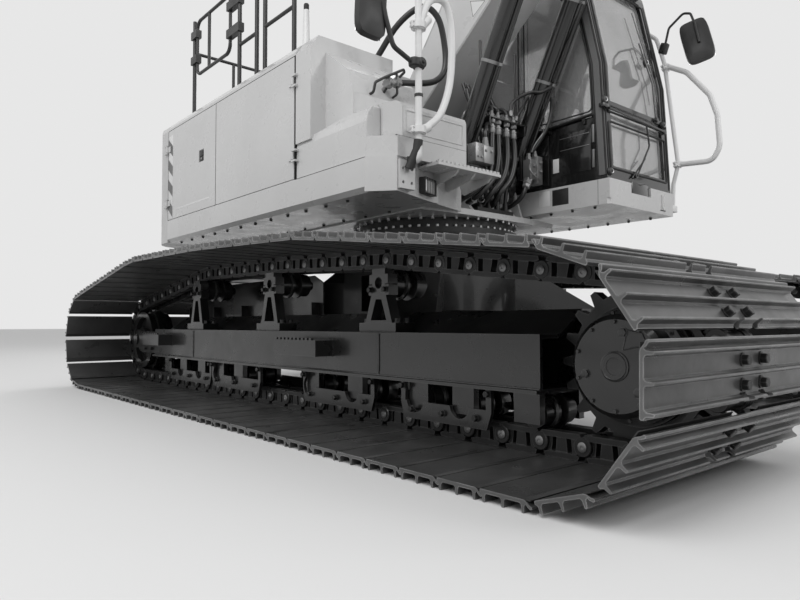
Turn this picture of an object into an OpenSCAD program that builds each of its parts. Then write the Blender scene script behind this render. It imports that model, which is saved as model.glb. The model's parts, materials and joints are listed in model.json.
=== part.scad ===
// Crawler excavator with extra wide track shoes, full size, in millimetres.
// +X is forward (boom and sprockets), +Y is the machine's left, +Z is up, and z = 0 is the ground.
// Places are given from the slew axis. Every node is moved back by origin_x at the end.

/* [Tracks] */
// Pitch of the track chain
pitch = 190; // [175:5:216]
// Width of one track shoe
shoe_w = 1300; // [700:50:1400]
// Distance between the centres of the two tracks
gauge = 2700; // [2400:50:3000]
// Sprocket axis in front of the slew axis
sprocket_x = 2485; // [2300:5:2700]
// Idler axis behind the slew axis
idler_back = 2355; // [2200:5:2600]
// Height of the lower chain pins over the ground
pin_h = 95; // [85:1:110]
// Outer face of a shoe plate, from the pin line
shoe_out = 67; // [60:1:80]
// Thickness of a shoe plate
shoe_t = 12; // [8:1:20]
// Height of a grouser bar
grouser_h = 28; // [20:1:40]
// Pin circle of the idler
idler_r = 315; // [290:1:330]

/* [Undercarriage] */
// Width of one track frame beam
beam_w = 340; // [300:10:400]
// Underside of the track frame
beam_low = 282; // [270:2:300]
// Top of the track frame's outer side
beam_top = 506; // [480:2:540]
// Rise of the frame's top plate towards the machine's middle
beam_rise = 100; // [60:5:120]
// Outer radius of the slew ring
ring_r = 640; // [560:5:700]
// Width of a carrier roller's stand at its foot
stand_w = 285; // [240:5:320]

/* [House] */
// Width of the house over its side doors
house_w = 2550; // [2400:10:2600]
// Underside of the house
house_low = 1290; // [1280:1:1340]
// Floor of the house and foot of the doors
floor_h = 1500; // [1480:5:1540]
// Top of the side doors
door_top = 2330; // [2200:10:2400]
// Rise of the engine cover over the side doors
hood_rise = 90; // [70:5:120]
// Tail swing radius
tail_r = 2830; // [2700:10:2900]
// Thickness of doors and cover panels
skin = 40; // [30:1:50]

/* [Cab] */
// Right wall of the cab from the machine's middle
cab_right = 400; // [395:5:450]
// Front of the cab floor
cab_front = 1275; // [1240:5:1320]
// Rear of the cab
cab_back = -260; // [-300:5:-220]
// Height of the cab over its floor
cab_h = 1665; // [1550:5:1720]
// Thickness of the cab's walls and posts
cab_t = 60; // [50:1:70]

/* [Boom] */
// Foot pin of the boom, forward of the slew axis
foot_x = -150; // [-200:5:-100]
// Height of the boom foot pin over the house floor
foot_up = 620; // [580:5:660]
// Length of the boom from pin to pin
boom_l = 5700; // [5600:10:5800]
// Distance from the foot pin to the bend
bend_l = 2600; // [2550:10:2650]
// Angle of the boom's lower leg over that line
bend_a = 24.6; // [24:0.1:25]
// Half of the boom's width
boom_y = 200; // [180:5:205]

/* [Dipper and bucket] */
// Length of the dipper from pin to pin
dipper_l = 2920; // [2620:10:3220]
// Lean of the hanging dipper towards the machine
dipper_lean = 7.1; // [0:0.1:12]
// Distance from the dipper's pin to the pin of its cylinder
lever_l = 750; // [700:10:800]
// Radius of the bucket at its teeth
tip_r = 1430; // [1400:10:1460]
// Width of the bucket
bucket_w = 1200; // [900:50:1300]
// Turn of the bucket towards the machine as it stands
curl = 25; // [15:1:30]

/* [Cylinders] */
// Foot pin of the boom cylinders, forward of the slew axis
ram_x = 460; // [440:5:480]
// Height of that pin over the underside of the house
ram_up = 210; // [200:5:240]
// Middle of each boom cylinder from the machine's middle
ram_y = 285; // [280:1:290]
// Outer radius of the boom cylinder tubes
ram_r = 68; // [60:1:70]
// Radius of a piston rod
rod_r = 42; // [38:1:46]

/* [Hidden] */
$fn = 48;
seat = 0.3;               // gap between pieces that only rest on each other
pin_gap = 0.5;            // clearance of a pin in its bore

function turn(v, a) = [v[0] * cos(a) - v[1] * sin(a), v[0] * sin(a) + v[1] * cos(a)];
function along(from, to, l) = from + l * (to - from) / norm(to - from);
function bearing(v) = atan2(v[1], v[0]);
function left_turn(u, v) = (bearing(v) - bearing(u) + 540) % 360 - 180;
// point at distance ra from a and rb from b, on the left of the way from a to b
function meet(a, b, ra, rb) =
    let (d = norm(b - a), x = (d * d + ra * ra - rb * rb) / 2 / d, y = sqrt(ra * ra - x * x))
    a + turn([x, y], bearing(b - a));
function arc(c, r, a0, a1, n) = [for (i = [0:n]) c + r * [cos(a0 + (a1 - a0) * i / n), sin(a0 + (a1 - a0) * i / n)]];

// tracks
idler_x = -idler_back;
teeth = 10;               // pitches round the sprocket
sprocket_r = pitch / 2 / sin(180 / teeth);
sprocket_z = pin_h + sprocket_r;
idler_z = pin_h + idler_r;
track_y = gauge / 2;
rail = 45;                // pin line to the rail that the rollers run on
strand_in = 45;           // inner and outer side of a link strand, from the chain's middle
strand_out = 95;
// carrier rollers: x, height of the chain pins over them
CARRIERS = [[1185, 866], [100, 912], [-1000, 925]];
carrier_r = 70;
roller_r = 62;
roller_z = pin_h + rail + seat + roller_r;
// bottom rollers: x
ROLLERS = [2080, 1740, 1460, 970, 570, -345, -630, -940, -1280, -1600];
// guards that hang below the rollers: rear and front end
GUARDS = [[1364, 1919], [506, 1159], [-705, 2], [-1496, -720]];
// steps on the outer side of a track frame: rear and front end, height
STEPS = [[373, 805, 460], [-1800, -1452, 465]];
beam_x0 = -1830;          // rear and front end of the track frame
beam_x1 = sprocket_x - 321;
beam_high = beam_top + beam_rise;
beam_wall = 16;
out = beam_w / 2;         // outer side of the track frame, from its middle

// house
half_w = house_w / 2;
deck_t = 40;              // thickness of the frame's bottom plate
deck_z = house_low + deck_t;
hood_top = door_top + hood_rise;
ring_split = 1218;        // between the slew ring's two halves
main_y0 = boom_y + 6;     // inner face of the frame's two main plates
main_t = 30;
side_y = 700;             // where the side members start
weight_x = -2235;         // front face of the counterweight
door_split = -1215;       // between the two right side doors
right_front = -5;         // front end of the right side doors
left_front = cab_back - 70;
bulkhead = 10;            // front face of the cover's bulkhead
tank_x = 765;             // where the tank's outer side ends and its chamfer begins
tank_front = 905;
tank_top = floor_h + 330;
tank_seam = floor_h + 120;
tank_in = -590;           // the tank's inner side
frame_front = 640;
rail_r = 17;

// cab
cab_deck_z = 1360;        // underside of the cab's deck
cab_low = floor_h + 35;   // underside of the cab
cab_top = cab_low + cab_h;
deck_front = cab_front + 15;
glass_t = 8;
glass_gap = 0.4;
door_x0 = 300;
door_x1 = 1130;
cab_mid = (cab_right + half_w) / 2;
floor_top = cab_low + cab_t + seat;
// front edge of the cab at height z: it leans back, more so in its upper part
lean_z = cab_low + 815;
function cab_x(z) = cab_front - 0.05 * (z - cab_low) - 0.17 * max(0, z - lean_z);

// bucket outline about its hinge, before it is curled
back_c = [80, -700];
back_r = 560;
lip = [-160, -sqrt(tip_r * tip_r - 160 * 160)];
bucket_line = concat(arc(back_c, back_r, 100, -95, 18), [lip]);
bucket_low = min([for (p = bucket_line) turn(p, -curl)[1]]);

// pins of the arm: the bucket rests on the ground and the dipper's lean is given, so the boom's angle follows
foot = [foot_x, floor_h + foot_up];
dipper_a = -90 - dipper_lean;
boom_a = asin((dipper_l * cos(dipper_lean) - bucket_low - foot[1]) / boom_l);
tip = foot + turn([boom_l, 0], boom_a);
hinge = tip + turn([dipper_l, 0], dipper_a);
bend_in = turn([bend_l, 0], bend_a);           // the bend, along the line of the boom's end pins
ram = [ram_x, house_low + ram_up];
ram_eye = foot + turn(bend_in, boom_a);
stick_in = bend_in + [1036, 330];              // foot of the dipper's cylinder
stick_foot = foot + turn(stick_in, boom_a);
lever_a = 160;                                 // the dipper's lever, from the dipper's line
stick_eye = tip + turn([lever_l, 0], dipper_a + lever_a);
// bucket linkage: rocker pivot on the dipper, pin in the bucket's ears, rocker end, cylinder foot
EAR = 420 * [cos(33), sin(33)];                // ear pin from the hinge, before the bucket is curled
rocker_foot = hinge - turn([420, 0], dipper_a);
ear_pin = hinge + turn(EAR, -curl);
rocker_end = meet(rocker_foot, ear_pin, 500, 460);
crowd_foot = tip + turn([380, 340], dipper_a);

// the whole machine's middle, from the slew axis
reach = max([for (p = bucket_line) hinge[0] + turn(p, -curl)[0]]);
arm_reach = max(reach, rocker_end[0] + 65, crowd_foot[0] + 75, stick_eye[0] + 90);
origin_x = (arm_reach - tail_r) / 2;

// side view outline (x, z) made solid from y0 to y1
module slab(y0, y1) { translate([0, y1, 0]) rotate([90, 0, 0]) linear_extrude(y1 - y0) children(); }
// the same on both sides of the machine's middle
module slabs(y0, y1) { slab(y0, y1) children(); slab(-y1, -y0) children(); }
module shaft(p, y0, y1, r) { slab(y0, y1) translate(p) circle(r); }
module shaft_z(x, y, z0, z1, r) { translate([x, y, z0]) cylinder(h = z1 - z0, r = r); }
module box(a, b) { translate(a) cube(b - a); }
// outline seen from the front (y, z) made solid from x0 to x1
module cross(x0, x1) { translate([x0, 0, 0]) rotate([90, 0, 90]) linear_extrude(x1 - x0) children(); }
module ring_z(z0, z1, r0, r1) {
    translate([0, 0, z0]) difference() {
        cylinder(h = z1 - z0, r = r1, $fn = 96);
        translate([0, 0, -1]) cylinder(h = z1 - z0 + 2, r = r0, $fn = 96);
    }
}
// round tube through the points of a flat path (x, z); a bend is a little thicker, as a bent tube is
module tube(points, r, br) {
    n = len(points);
    // length that a bend takes from each side of corner i
    function cut(i) = i <= 0 || i >= n - 1 ? 0 :
        br * tan(abs(left_turn(points[i] - points[i - 1], points[i + 1] - points[i])) / 2);
    into = 5;
    for (i = [0:n - 2]) let (u = points[i + 1] - points[i], l = norm(u),
            c0 = cut(i) > 0 ? cut(i) - into : 0, c1 = cut(i + 1) > 0 ? cut(i + 1) - into : 0)
        translate([points[i][0], 0, points[i][1]]) rotate([0, 90 - bearing(u), 0]) translate([0, 0, c0])
            cylinder(h = l - c0 - c1, r = r, $fn = 24);
    if (n > 2) for (i = [1:n - 2])
        let (u = points[i] - points[i - 1], v = points[i + 1] - points[i], bend = left_turn(u, v), side = sign(bend),
            start = points[i] - cut(i) * u / norm(u), centre = start + side * br * turn(u / norm(u), 90))
        translate([centre[0], 0, centre[1]]) rotate([90, 0, 0])
            rotate([0, 0, bearing(start - centre) + (bend < 0 ? bend : 0)])
                rotate_extrude(angle = abs(bend)) translate([br, 0]) circle(r + 1, $fn = 24);
}
// a bar with round ends between two points, as a flat shape
module strap(a, b, ra, rb) {
    hull() { translate(a) circle(ra, $fn = 32); translate(b) circle(rb, $fn = 32); }
}
module right_side() { translate([0, -track_y, 0]) children(); }
module left_side() { translate([0, track_y, 0]) mirror([0, 1, 0]) children(); }

// Track, drawn about its own middle; outboard is -y
sprocket_top = let (v = CARRIERS[0] - [sprocket_x, sprocket_z]) bearing(v) - acos(sprocket_r / norm(v));
idler_top = let (v = CARRIERS[2] - [idler_x, idler_z]) bearing(v) + acos(idler_r / norm(v));
// chain line moved outwards by v
function chain(v, n) = concat(
    arc([sprocket_x, sprocket_z], sprocket_r + v, -90, sprocket_top, n),
    [for (c = CARRIERS) c + [0, v]],
    arc([idler_x, idler_z], idler_r + v, idler_top, 270, n));
LINE = let (c = chain(0, 24)) concat(c, [c[0]]);
STEP = [for (i = 0, s = 0; i < len(LINE); s = s + (i < len(LINE) - 1 ? norm(LINE[i + 1] - LINE[i]) : 0), i = i + 1) s];
chain_l = STEP[len(STEP) - 1];
shoe_count = round(chain_l / pitch);
XS = [for (i = [0:len(LINE) - 1]) [STEP[i], LINE[i][0]]];
ZS = [for (i = [0:len(LINE) - 1]) [STEP[i], LINE[i][1]]];
function pin_at(k) = let (s = (k * chain_l / shoe_count) % chain_l) [lookup(s, XS), lookup(s, ZS)];
// one shoe's outer side: share of the pitch, height over the plate as a share of the grouser
SHOE = [[0.06, 0], [0.10, 1], [0.16, 0], [0.44, 0], [0.50, 1], [0.56, 0], [0.84, 0], [0.90, 1]];
// a corner of the loop moved outwards by v, left out where the chain runs straight on
function rim(v) = [for (k = [0:shoe_count - 1])
    let (a = pin_at(k + shoe_count - 1), b = pin_at(k), c = pin_at(k + 1), d0 = bearing(b - a), d1 = bearing(c - b),
        half = ((d1 - d0 + 540) % 360 - 180) / 2)
    if (abs(half) > 0.4) b + v / cos(half) * [sin(d0 + half), -cos(d0 + half)]];
function shoe(k) = let (a = pin_at(k), b = pin_at(k + 1), t = (b - a) / norm(b - a), n = [t[1], -t[0]])
    [for (p = SHOE) a + (b - a) * p[0] + n * (shoe_out + grouser_h * p[1])];

// height of a carrier roller's axis: it touches the links that pass over it
function carrier_z(c) = min([for (k = [0:shoe_count - 1])
    let (a = pin_at(k), b = pin_at(k + 1), t = (b - a) / norm(b - a))
    if (t[0] < -0.5 && abs((a[0] + b[0]) / 2 - c[0]) < pitch)
        a[1] + (c[0] - a[0]) * t[1] / t[0] - (rail + seat + 1 + carrier_r) / abs(t[0])]);

module track() {
    color("dimgray") {
        slab(-shoe_w / 2, shoe_w / 2) difference() {
            polygon([for (k = [0:shoe_count - 1]) each shoe(k)]);
            polygon(rim(shoe_out - shoe_t));
        }
        for (y = [-strand_out, strand_in]) slab(y, y + strand_out - strand_in) difference() {
            polygon(rim(shoe_out - shoe_t - seat));
            polygon(rim(-rail));
        }
    }
}

module sprocket() {
    root = sprocket_r - 38;
    color("#2b2b2b") shaft([sprocket_x, sprocket_z], -60, 60, 215 - seat);
    color("#2b2b2b") slab(-28, 28) translate([sprocket_x, sprocket_z]) difference() {
        polygon([for (i = [0:2 * teeth - 1]) each let (a = 180 / teeth * i) [
            root * [cos(a - 5), sin(a - 5)], (sprocket_r + 8) * [cos(a - 2), sin(a - 2)],
            (sprocket_r + 8) * [cos(a + 2), sin(a + 2)], root * [cos(a + 5), sin(a + 5)]]]);
        circle(214);
    }
}

module final_drive() {
    // axial profile of the hub: radius, place along y; outboard is the positive side here
    color("#2b2b2b") translate([sprocket_x, 0, sprocket_z]) rotate([90, 0, 0]) rotate_extrude()
        polygon([[0, 60 + seat], [205, 60 + seat], [205, 92], [178, 100], [176, 168], [158, 184], [46, 187],
            [44, 193], [30, 193], [28, 189], [0, 189]]);
    color("#2b2b2b") shaft([sprocket_x, sprocket_z], 60 + seat, 106, 200);
    color("#2b2b2b") shaft([sprocket_x, sprocket_z], 105, 420, 165);
}

module track_frame() {
    // end outline of the beam; the outboard side is -y
    function beam_line(w) = [[-out + w, beam_low + w], [out - w, beam_low + w], [out - w, beam_high - w],
        [out - 60, beam_high - w], [-out + 130, beam_top - w], [-out + w, beam_top - w]];
    pocket = 300;             // depth of the open end at the final drive
    color("#303030") {
        cross(beam_x0, beam_x1 - pocket) polygon(beam_line(0));
        cross(beam_x1 - pocket - 5, beam_x1) difference() {
            polygon(beam_line(0));
            polygon(beam_line(beam_wall));
        }
        // lower flange and the seams where the side plates meet
        box([beam_x0, -out - 22, beam_low], [beam_x1, -out + 5, beam_low + 14]);
        for (x = [-1040, 1190]) box([x, -out - 4, beam_low + 20], [x + 10, -out + 5, beam_top - 6]);
        // plate that carries the final drive
        slab(107, 147) difference() {
            union() {
                translate([sprocket_x, sprocket_z]) circle(235);
                polygon([[beam_x1 - pocket - 40, beam_low + 40], [beam_x1 - 5, beam_low + 4], [sprocket_x, sprocket_z - 235],
                    [sprocket_x, sprocket_z + 235], [beam_x1 - pocket - 40, beam_high - 90]]);
            }
            translate([sprocket_x, sprocket_z]) circle(165 + pin_gap);
        }
        // steps on the outer side, with teeth along their edge
        for (p = STEPS) {
            box([p[0], -out - 100, p[2] - 85], [p[0] + 14, -out + 5, p[2]]);
            box([p[1] - 14, -out - 100, p[2] - 85], [p[1], -out + 5, p[2]]);
            box([p[0], -out - 100, p[2] - 12], [p[1], -out + 5, p[2]]);
            box([p[0], -out - 112, p[2] - 85], [p[1], -out - 98, p[2]]);
            for (x = [p[0] + 10:40:p[1] - 30]) box([x, -out - 112, p[2] - 2], [x + 20, -out - 98, p[2] + 12]);
        }
        // yoke arms at the idler
        for (y = [-150, 110]) slab(y, y + 40) difference() {
            polygon([[beam_x0 + 60, beam_low + 20], [beam_x0 + 60, beam_top - 20], [idler_x + 110, beam_top - 20],
                [idler_x + 60, idler_z + 90], [idler_x - 60, idler_z + 90], [idler_x - 60, idler_z - 70],
                [idler_x + 60, idler_z - 70], [idler_x + 160, beam_low + 20]]);
            translate([idler_x, idler_z]) circle(45 + pin_gap);
        }
    }
}

module idler() {
    tread = sqrt(idler_r * idler_r - pitch * pitch / 4) - rail - 4;
    color("#2b2b2b") translate([idler_x, 0, idler_z]) rotate([90, 0, 0]) rotate_extrude()
        polygon([[0, -160], [45, -160], [45, -105], [110, -105], [110, -60], [tread - 50, -50], [tread - 50, -95],
            [tread, -95], [tread, -40], [tread + 20, -36], [tread + 20, 36], [tread, 40], [tread, 95],
            [tread - 50, 95], [tread - 50, 50], [110, 60], [110, 105], [45, 105], [45, 160], [0, 160]]);
}

module roller(p, r) {
    translate([p[0], 0, p[1]]) rotate([90, 0, 0]) rotate_extrude()
        polygon([[0, -140], [28, -140], [28, -100], [r, -98], [r, -42], [r + 12, -38], [r + 12, -24], [r - 22, -16],
            [r - 22, 16], [r + 12, 24], [r + 12, 38], [r, 42], [r, 98], [28, 100], [28, 140], [0, 140]]);
}
module rollers() {
    color("#262626") for (x = ROLLERS) {
        roller([x, roller_z], roller_r);
        // blocks that hold the roller's axle under the frame
        for (y = [-145, 112]) box([x - 62, y, roller_z - 40], [x + 62, y + 33, beam_low - seat]);
    }
    color("#262626") for (c = CARRIERS) roller([c[0], carrier_z(c)], carrier_r);
}

module roller_guards() {
    low = 115;                // bottom edge of a guard
    color("#303030") for (g = GUARDS, s = [-1, 1]) slab(s < 0 ? -168 : 150, s < 0 ? -150 : 168) difference() {
        polygon([[g[0], beam_low - seat], [g[0], low + 70], [g[0] + 25, low], [g[1] - 25, low], [g[1], low + 70],
            [g[1], beam_low - seat], [g[1] - 28, beam_low - seat], [g[1] - 28, low + 80], [g[0] + 28, low + 80],
            [g[0] + 28, beam_low - seat]]);
        for (x = ROLLERS) if (x > g[0] && x < g[1]) translate([x, roller_z]) circle(roller_r - 4);
    }
}

module carrier_stands() {
    foot_t = 46;
    color("#303030") for (c = CARRIERS) {
        z = carrier_z(c);
        y0 = -out - 2;
        // foot, then two leaning legs, then the block that clamps the roller's axle
        box([c[0] - stand_w / 2, y0, beam_top + seat], [c[0] + stand_w / 2, y0 + 120, beam_top + foot_t]);
        slab(y0 + 10, y0 + 70) difference() {
            union() {
                polygon([[c[0] - 105, beam_top + foot_t - 5], [c[0] + 105, beam_top + foot_t - 5],
                    [c[0] + 55, z - 55], [c[0] - 55, z - 55]]);
                translate([c[0] - 78, z - 60]) square([156, 50]);
                translate([c[0] - 72, z - 4]) square([144, 46]);
                translate([c[0] - 50, z - 20]) square([100, 90]);
            }
            polygon([[c[0] - 62, beam_top + foot_t + 12], [c[0] + 62, beam_top + foot_t + 12],
                [c[0] + 22, z - 80], [c[0] - 22, z - 80]]);
            translate([c[0], z]) circle(28 + pin_gap);
        }
    }
}

module car_body() {
    hub_r = ring_r - 20;
    leg_y = track_y - out - seat;       // the legs end at the track frames
    clear_y = track_y - shoe_w / 2 - 8; // what stands higher stays beside the shoes
    eye_z = 420;
    color("#303030") {
        shaft_z(0, 0, 640, 900, hub_r);
        shaft_z(0, 0, 890, 1000, hub_r - 60);
        shaft_z(0, 0, 990, 1149.5, hub_r - 60);
        intersection() {
            union() {
                box([-2000, -leg_y, 200], [2000, leg_y, 850]);
                box([-2000, -clear_y, 200], [2000, clear_y, 1000]);
            }
            // four box legs, leaning down from the hub to the frames
            union() for (sx = [-1, 1], sy = [-1, 1])
                translate([sx * 180, sy * 330, 0]) rotate([0, 0, atan2(sy * 800, sx * 720)])
                    translate([0, 190, 0]) rotate([90, 0, 0]) linear_extrude(380)
                        polygon([[0, 640], [0, 990], [300, 990], [1060, 540], [1060, 300], [880, 300]]);
        }
        // bottom plate with two keels, and at each end a towing eye: a flat plate with its ribs
        box([-560, -leg_y, 300], [560, leg_y, 330]);
        for (s = [-1, 1]) box([-480, s * 420 - 15, 325], [480, s * 420 + 15, 700]);
        for (s = [-1, 1]) {
            for (y = [-70, 50]) slab(y, y + 20) polygon([[s * 250, 325], [s * 550, 325], [s * 560, eye_z], [s * 300, 660]]);
            difference() {
                translate([0, 0, eye_z - 20]) linear_extrude(40) polygon([[s * 250, -90], [s * 590, -90], [s * 680, -50],
                    [s * 680, 50], [s * 590, 90], [s * 250, 90]]);
                translate([s * tow_x, 0, eye_z - 30]) cylinder(h = 60, r = tow_r);
            }
        }
    }
}
tow_r = 32;                   // bore of the two towing eyes, and their place from the slew axis
tow_x = 615;

module slew_ring_lower() {
    color("#3a3a3a") ring_z(1150, ring_split, 480, ring_r);
    color("#3a3a3a") for (a = [0:12:348]) rotate([0, 0, a]) translate([ring_r - 28, 0, ring_split]) cylinder(h = 5, r = 11, $fn = 6);
}
module slew_ring_upper() { color("#3a3a3a") ring_z(ring_split + 6, house_low, 520, ring_r - 50); }

// House
module main_frame() {
    low = deck_z - 5;
    back = -1900;
    color("#c8c8c8") {
        translate([0, 0, house_low]) linear_extrude(deck_t) polygon([[-2150, -side_y], [frame_front - 40, -side_y],
            [frame_front, -310], [frame_front, 310], [frame_front - 40, side_y], [-2150, side_y]]);
        slabs(main_y0, main_y0 + main_t) difference() {
            union() {
                polygon([[back, low], [back, floor_h + 40], [foot_x - 950, floor_h + 40], [foot_x - 450, floor_h + 350],
                    [foot_x - 160, foot[1]], [foot_x + 160, foot[1]], [250, floor_h + 200], [ram_x - 70, ram[1] + 30],
                    [ram_x + 70, ram[1] - 60], [frame_front - 20, low]]);
                translate(foot) circle(160);
                translate(ram) circle(90);
            }
            translate(foot) circle(50 + pin_gap);
            translate(ram) circle(45 + pin_gap);
        }
        // outer lugs of the boom cylinders' feet
        slabs(ram_y + 38, ram_y + 58) difference() {
            union() {
                polygon([[ram_x - 130, low], [ram_x + 140, low], [ram_x + 80, ram[1]], [ram_x - 80, ram[1]]]);
                translate(ram) circle(80);
            }
            translate(ram) circle(45 + pin_gap);
        }
    }
    color("silver") {
        shaft(foot, -main_y0 - main_t - 20, main_y0 + main_t + 20, 50);
        for (s = [-1, 1]) shaft(ram, s * (ram_y - 2) - 60, s * (ram_y - 2) + 60, 45);
    }
}

// house side member seen from the front: its lower edge is bevelled
module skirt(x0, x1) {
    bevel = 28;
    cross(x0, x1) polygon([[-side_y - seat, house_low + 10], [-half_w + bevel, house_low + 10],
        [-half_w, house_low + 10 + bevel], [-half_w, floor_h - seat], [-side_y - seat, floor_h - seat]]);
}
// the skirt's front, seen from above: it runs back from the corner to the frame
skirt_front = [[tank_x - 5, -half_w], [tank_x, -half_w], [tank_front, -half_w + 120], [722, -616],
    [655, -380], [frame_front + seat, -380], [frame_front + seat, -side_y - 60], [tank_x - 5, -side_y - 60]];
grip_x = 815;             // step in front of the tank: rear edge, front edge
grip_front = 1000;
module deck_skirts() {
    color("gainsboro") {
        skirt(weight_x, tank_x);
        mirror([0, 1, 0]) skirt(weight_x, cab_back);
        // deck under the cab, cut away at its front edge for the wiper
        difference() {
            box([cab_back, cab_right, cab_deck_z], [deck_front, half_w, cab_low - seat]);
            box([deck_front - 60, 680, cab_low - 70], [deck_front + 1, 950, cab_low + 1]);
            translate([0, 0, cab_deck_z - 1]) linear_extrude(40) polygon([[deck_front - 22, cab_right - 1],
                [deck_front + 1, cab_right - 1], [deck_front + 1, cab_right + 22]]);
        }
        // skirt's front, with a plate for bolting on a guard
        difference() {
            union() {
                translate([0, 0, house_low + 10]) linear_extrude(floor_h - house_low - 10 - seat) polygon(skirt_front);
                box([tank_front - 60, GUARD_PLATE[0] - 58, floor_h - 185], [tank_front + 14, GUARD_PLATE[0] + 57, floor_h - 20]);
            }
            for (p = GUARD_HOLES) translate([tank_front - 86, GUARD_PLATE[0] + p[0], GUARD_PLATE[1] + p[1]])
                rotate([0, 90, 0]) cylinder(h = 120, r = guard_hole_r);
        }
    }
    color("silver") {
        // step with a toothed front edge on two brackets
        box([grip_x, -920, floor_h - 30], [grip_front, -375, floor_h - 14]);
        for (y = [-730, -580, -430]) slab(y - 8, y + 8) polygon([[grip_front - 20, floor_h - 25], [grip_front - 60, floor_h - 60],
            [730, floor_h - 110], [700, floor_h - 60], [700, floor_h - 25]]);
        for (y = [-915:34:-385]) box([grip_front - 14, y, floor_h - 16], [grip_front, y + 17, floor_h]);
    }
}
GUARD_PLATE = [-half_w + 188, floor_h - 110];    // middle of the bolted plate: y, z
GUARD_HOLES = [[-32, -40], [32, -40], [-32, 40], [32, 40]];
guard_hole_r = 9;

module counterweight() {
    // plan outline: flat front, round corners, tail arc; the rear rises a little at its foot
    corner = 320;
    c = [weight_x - 95, half_w - corner];
    bevel = 60;
    color("#bdbdbd") difference() {
        intersection() {
            translate([0, 0, house_low + 10]) linear_extrude(hood_top - house_low - 20) intersection() {
                circle(tail_r, $fn = 180);
                polygon(concat([[weight_x - seat, -half_w], [c[0], -half_w]],
                    [for (a = [0:10:60]) [c[0] - corner * sin(a), -c[1] - corner * cos(a)]],
                    [[-tail_r - 170, -600], [-tail_r - 170, 600]],
                    [for (a = [60:-10:0]) [c[0] - corner * sin(a), c[1] + corner * cos(a)]],
                    [[c[0], half_w], [weight_x - seat, half_w]]));
            }
            cross(-tail_r - 100, weight_x) polygon([[-half_w, house_low], [half_w, house_low], [half_w, hood_top - hood_rise],
                [half_w - bevel, hood_top], [-half_w + bevel, hood_top], [-half_w, hood_top - hood_rise]]);
            slab(-half_w, half_w) polygon([[weight_x, house_low], [-tail_r + 140, house_low], [-tail_r - 1, house_low + 150],
                [-tail_r - 1, hood_top - 80], [-tail_r + 120, hood_top], [weight_x, hood_top]]);
        }
        for (y = [-lift_y, lift_y]) translate([lift_x, y, hood_top - 200]) cylinder(h = 300, r = lift_r);
        // recess for the exhaust side's grille, and the bolt pockets under it
        for (y = [-700, 700]) shaft([-2500, house_low + 160], y - 40, y + 40, 40);
    }
    color("#bdbdbd") { hinge_lugs(rear_pin, 1, 6); mirror([0, 1, 0]) hinge_lugs(rear_pin, 1, 6); }
}
lift_x = -2480;           // the counterweight's two lifting holes
lift_y = 450;
lift_r = 24;

module engine_block() {
    feet_z = floor_h + 60;
    color("#444444") {
        box([-1900, -900, feet_z], [-1200, 350, door_top - 80]);
        for (x = [-1750, -1350], y = [-600, 100]) box([x - 60, y - 60, deck_z + seat], [x + 60, y + 60, feet_z + 5]);
    }
}

hood_x0 = -1850;          // opening under the engine hood
hood_x1 = -460;
hood_y0 = -850;
hood_y1 = 190;
post = 60;                // width of the posts between the doors
module cover_panels() {
    bevel = 60;
    top = hood_top - seat;
    low = door_top + seat;
    // half of the cover seen from the front, its outer edge bevelled
    module cap(x0, x1, y) {
        cross(x0, x1) polygon([[-half_w, low], [-y, low], [-y, top], [-half_w + bevel, top], [-half_w, low + 20]]);
    }
    color("gainsboro") {
        difference() {
            union() {
                cap(weight_x, -400, 0);
                cap(-401, bulkhead, 245);
                mirror([0, 1, 0]) cap(weight_x, left_front, 0);
            }
            box([hood_x0, hood_y0, low - 10], [hood_x1, hood_y1, top + 10]);
        }
        // bulkheads at the front and posts between the doors
        box([-30, -half_w + skin + 6, floor_h], [bulkhead, tank_in + 140, low + 10]);
        box([left_front + 10, side_y, floor_h], [left_front + 40, half_w - 5, low + 10]);
        for (y = [-half_w + skin + 10, half_w - skin - 10 - post])
            box([weight_x, y, floor_h], [weight_x + post, y + post, low + 10]);
        box([door_split - post / 2, -half_w + skin + 10, floor_h], [door_split + post / 2, -half_w + skin + 50, low + 10]);
        // hinge lugs of the engine hood, with their pins
        for (y = HOOD_Y) {
            for (k = [y - 16, y + 54]) {
                shaft(hood_pin, k, k + 12, 9);
                box([hood_pin[0] - 9, k, top - 5], [hood_pin[0] + 7, k + 12, hood_pin[1]]);
            }
            shaft(hood_pin, y - 16, y + 66, 6);
        }
        // buffers that the closed doors rest on
        for (x = [weight_x + 30, door_split - 15, door_split + 15, -15], z = [floor_h + 90, door_top - 90])
            box([x - 8, -half_w + skin + seat, z], [x + 8, -half_w + skin + 14, z + 40]);
        for (x = [weight_x + 30, left_front + 25], z = [floor_h + 90, door_top - 90])
            box([x - 8, half_w - skin - 14, z], [x + 8, half_w - skin - seat, z + 40]);
    }
}

// Hinges of the side doors: where the pins stand, and the foot of each hinge
rear_pin = weight_x + 7;
front_pin = right_front - 3;
pin_out = 14;             // pin from the doors' outer face
DOOR_Z = [floor_h + 130, door_top - 200];
// knuckles round the pins; the door lies on side d of them
module knuckles(x, d) {
    color("gainsboro") for (z = DOOR_Z) difference() {
        union() {
            shaft_z(x, -half_w - pin_out, z, z + 50, 11);
            box([min(x, x + 60 * d), -half_w - 9, z], [max(x, x + 60 * d), -half_w + 1, z + 50]);
        }
        shaft_z(x, -half_w - pin_out, z - 1, z + 51, 6 + pin_gap);
    }
}
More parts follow.
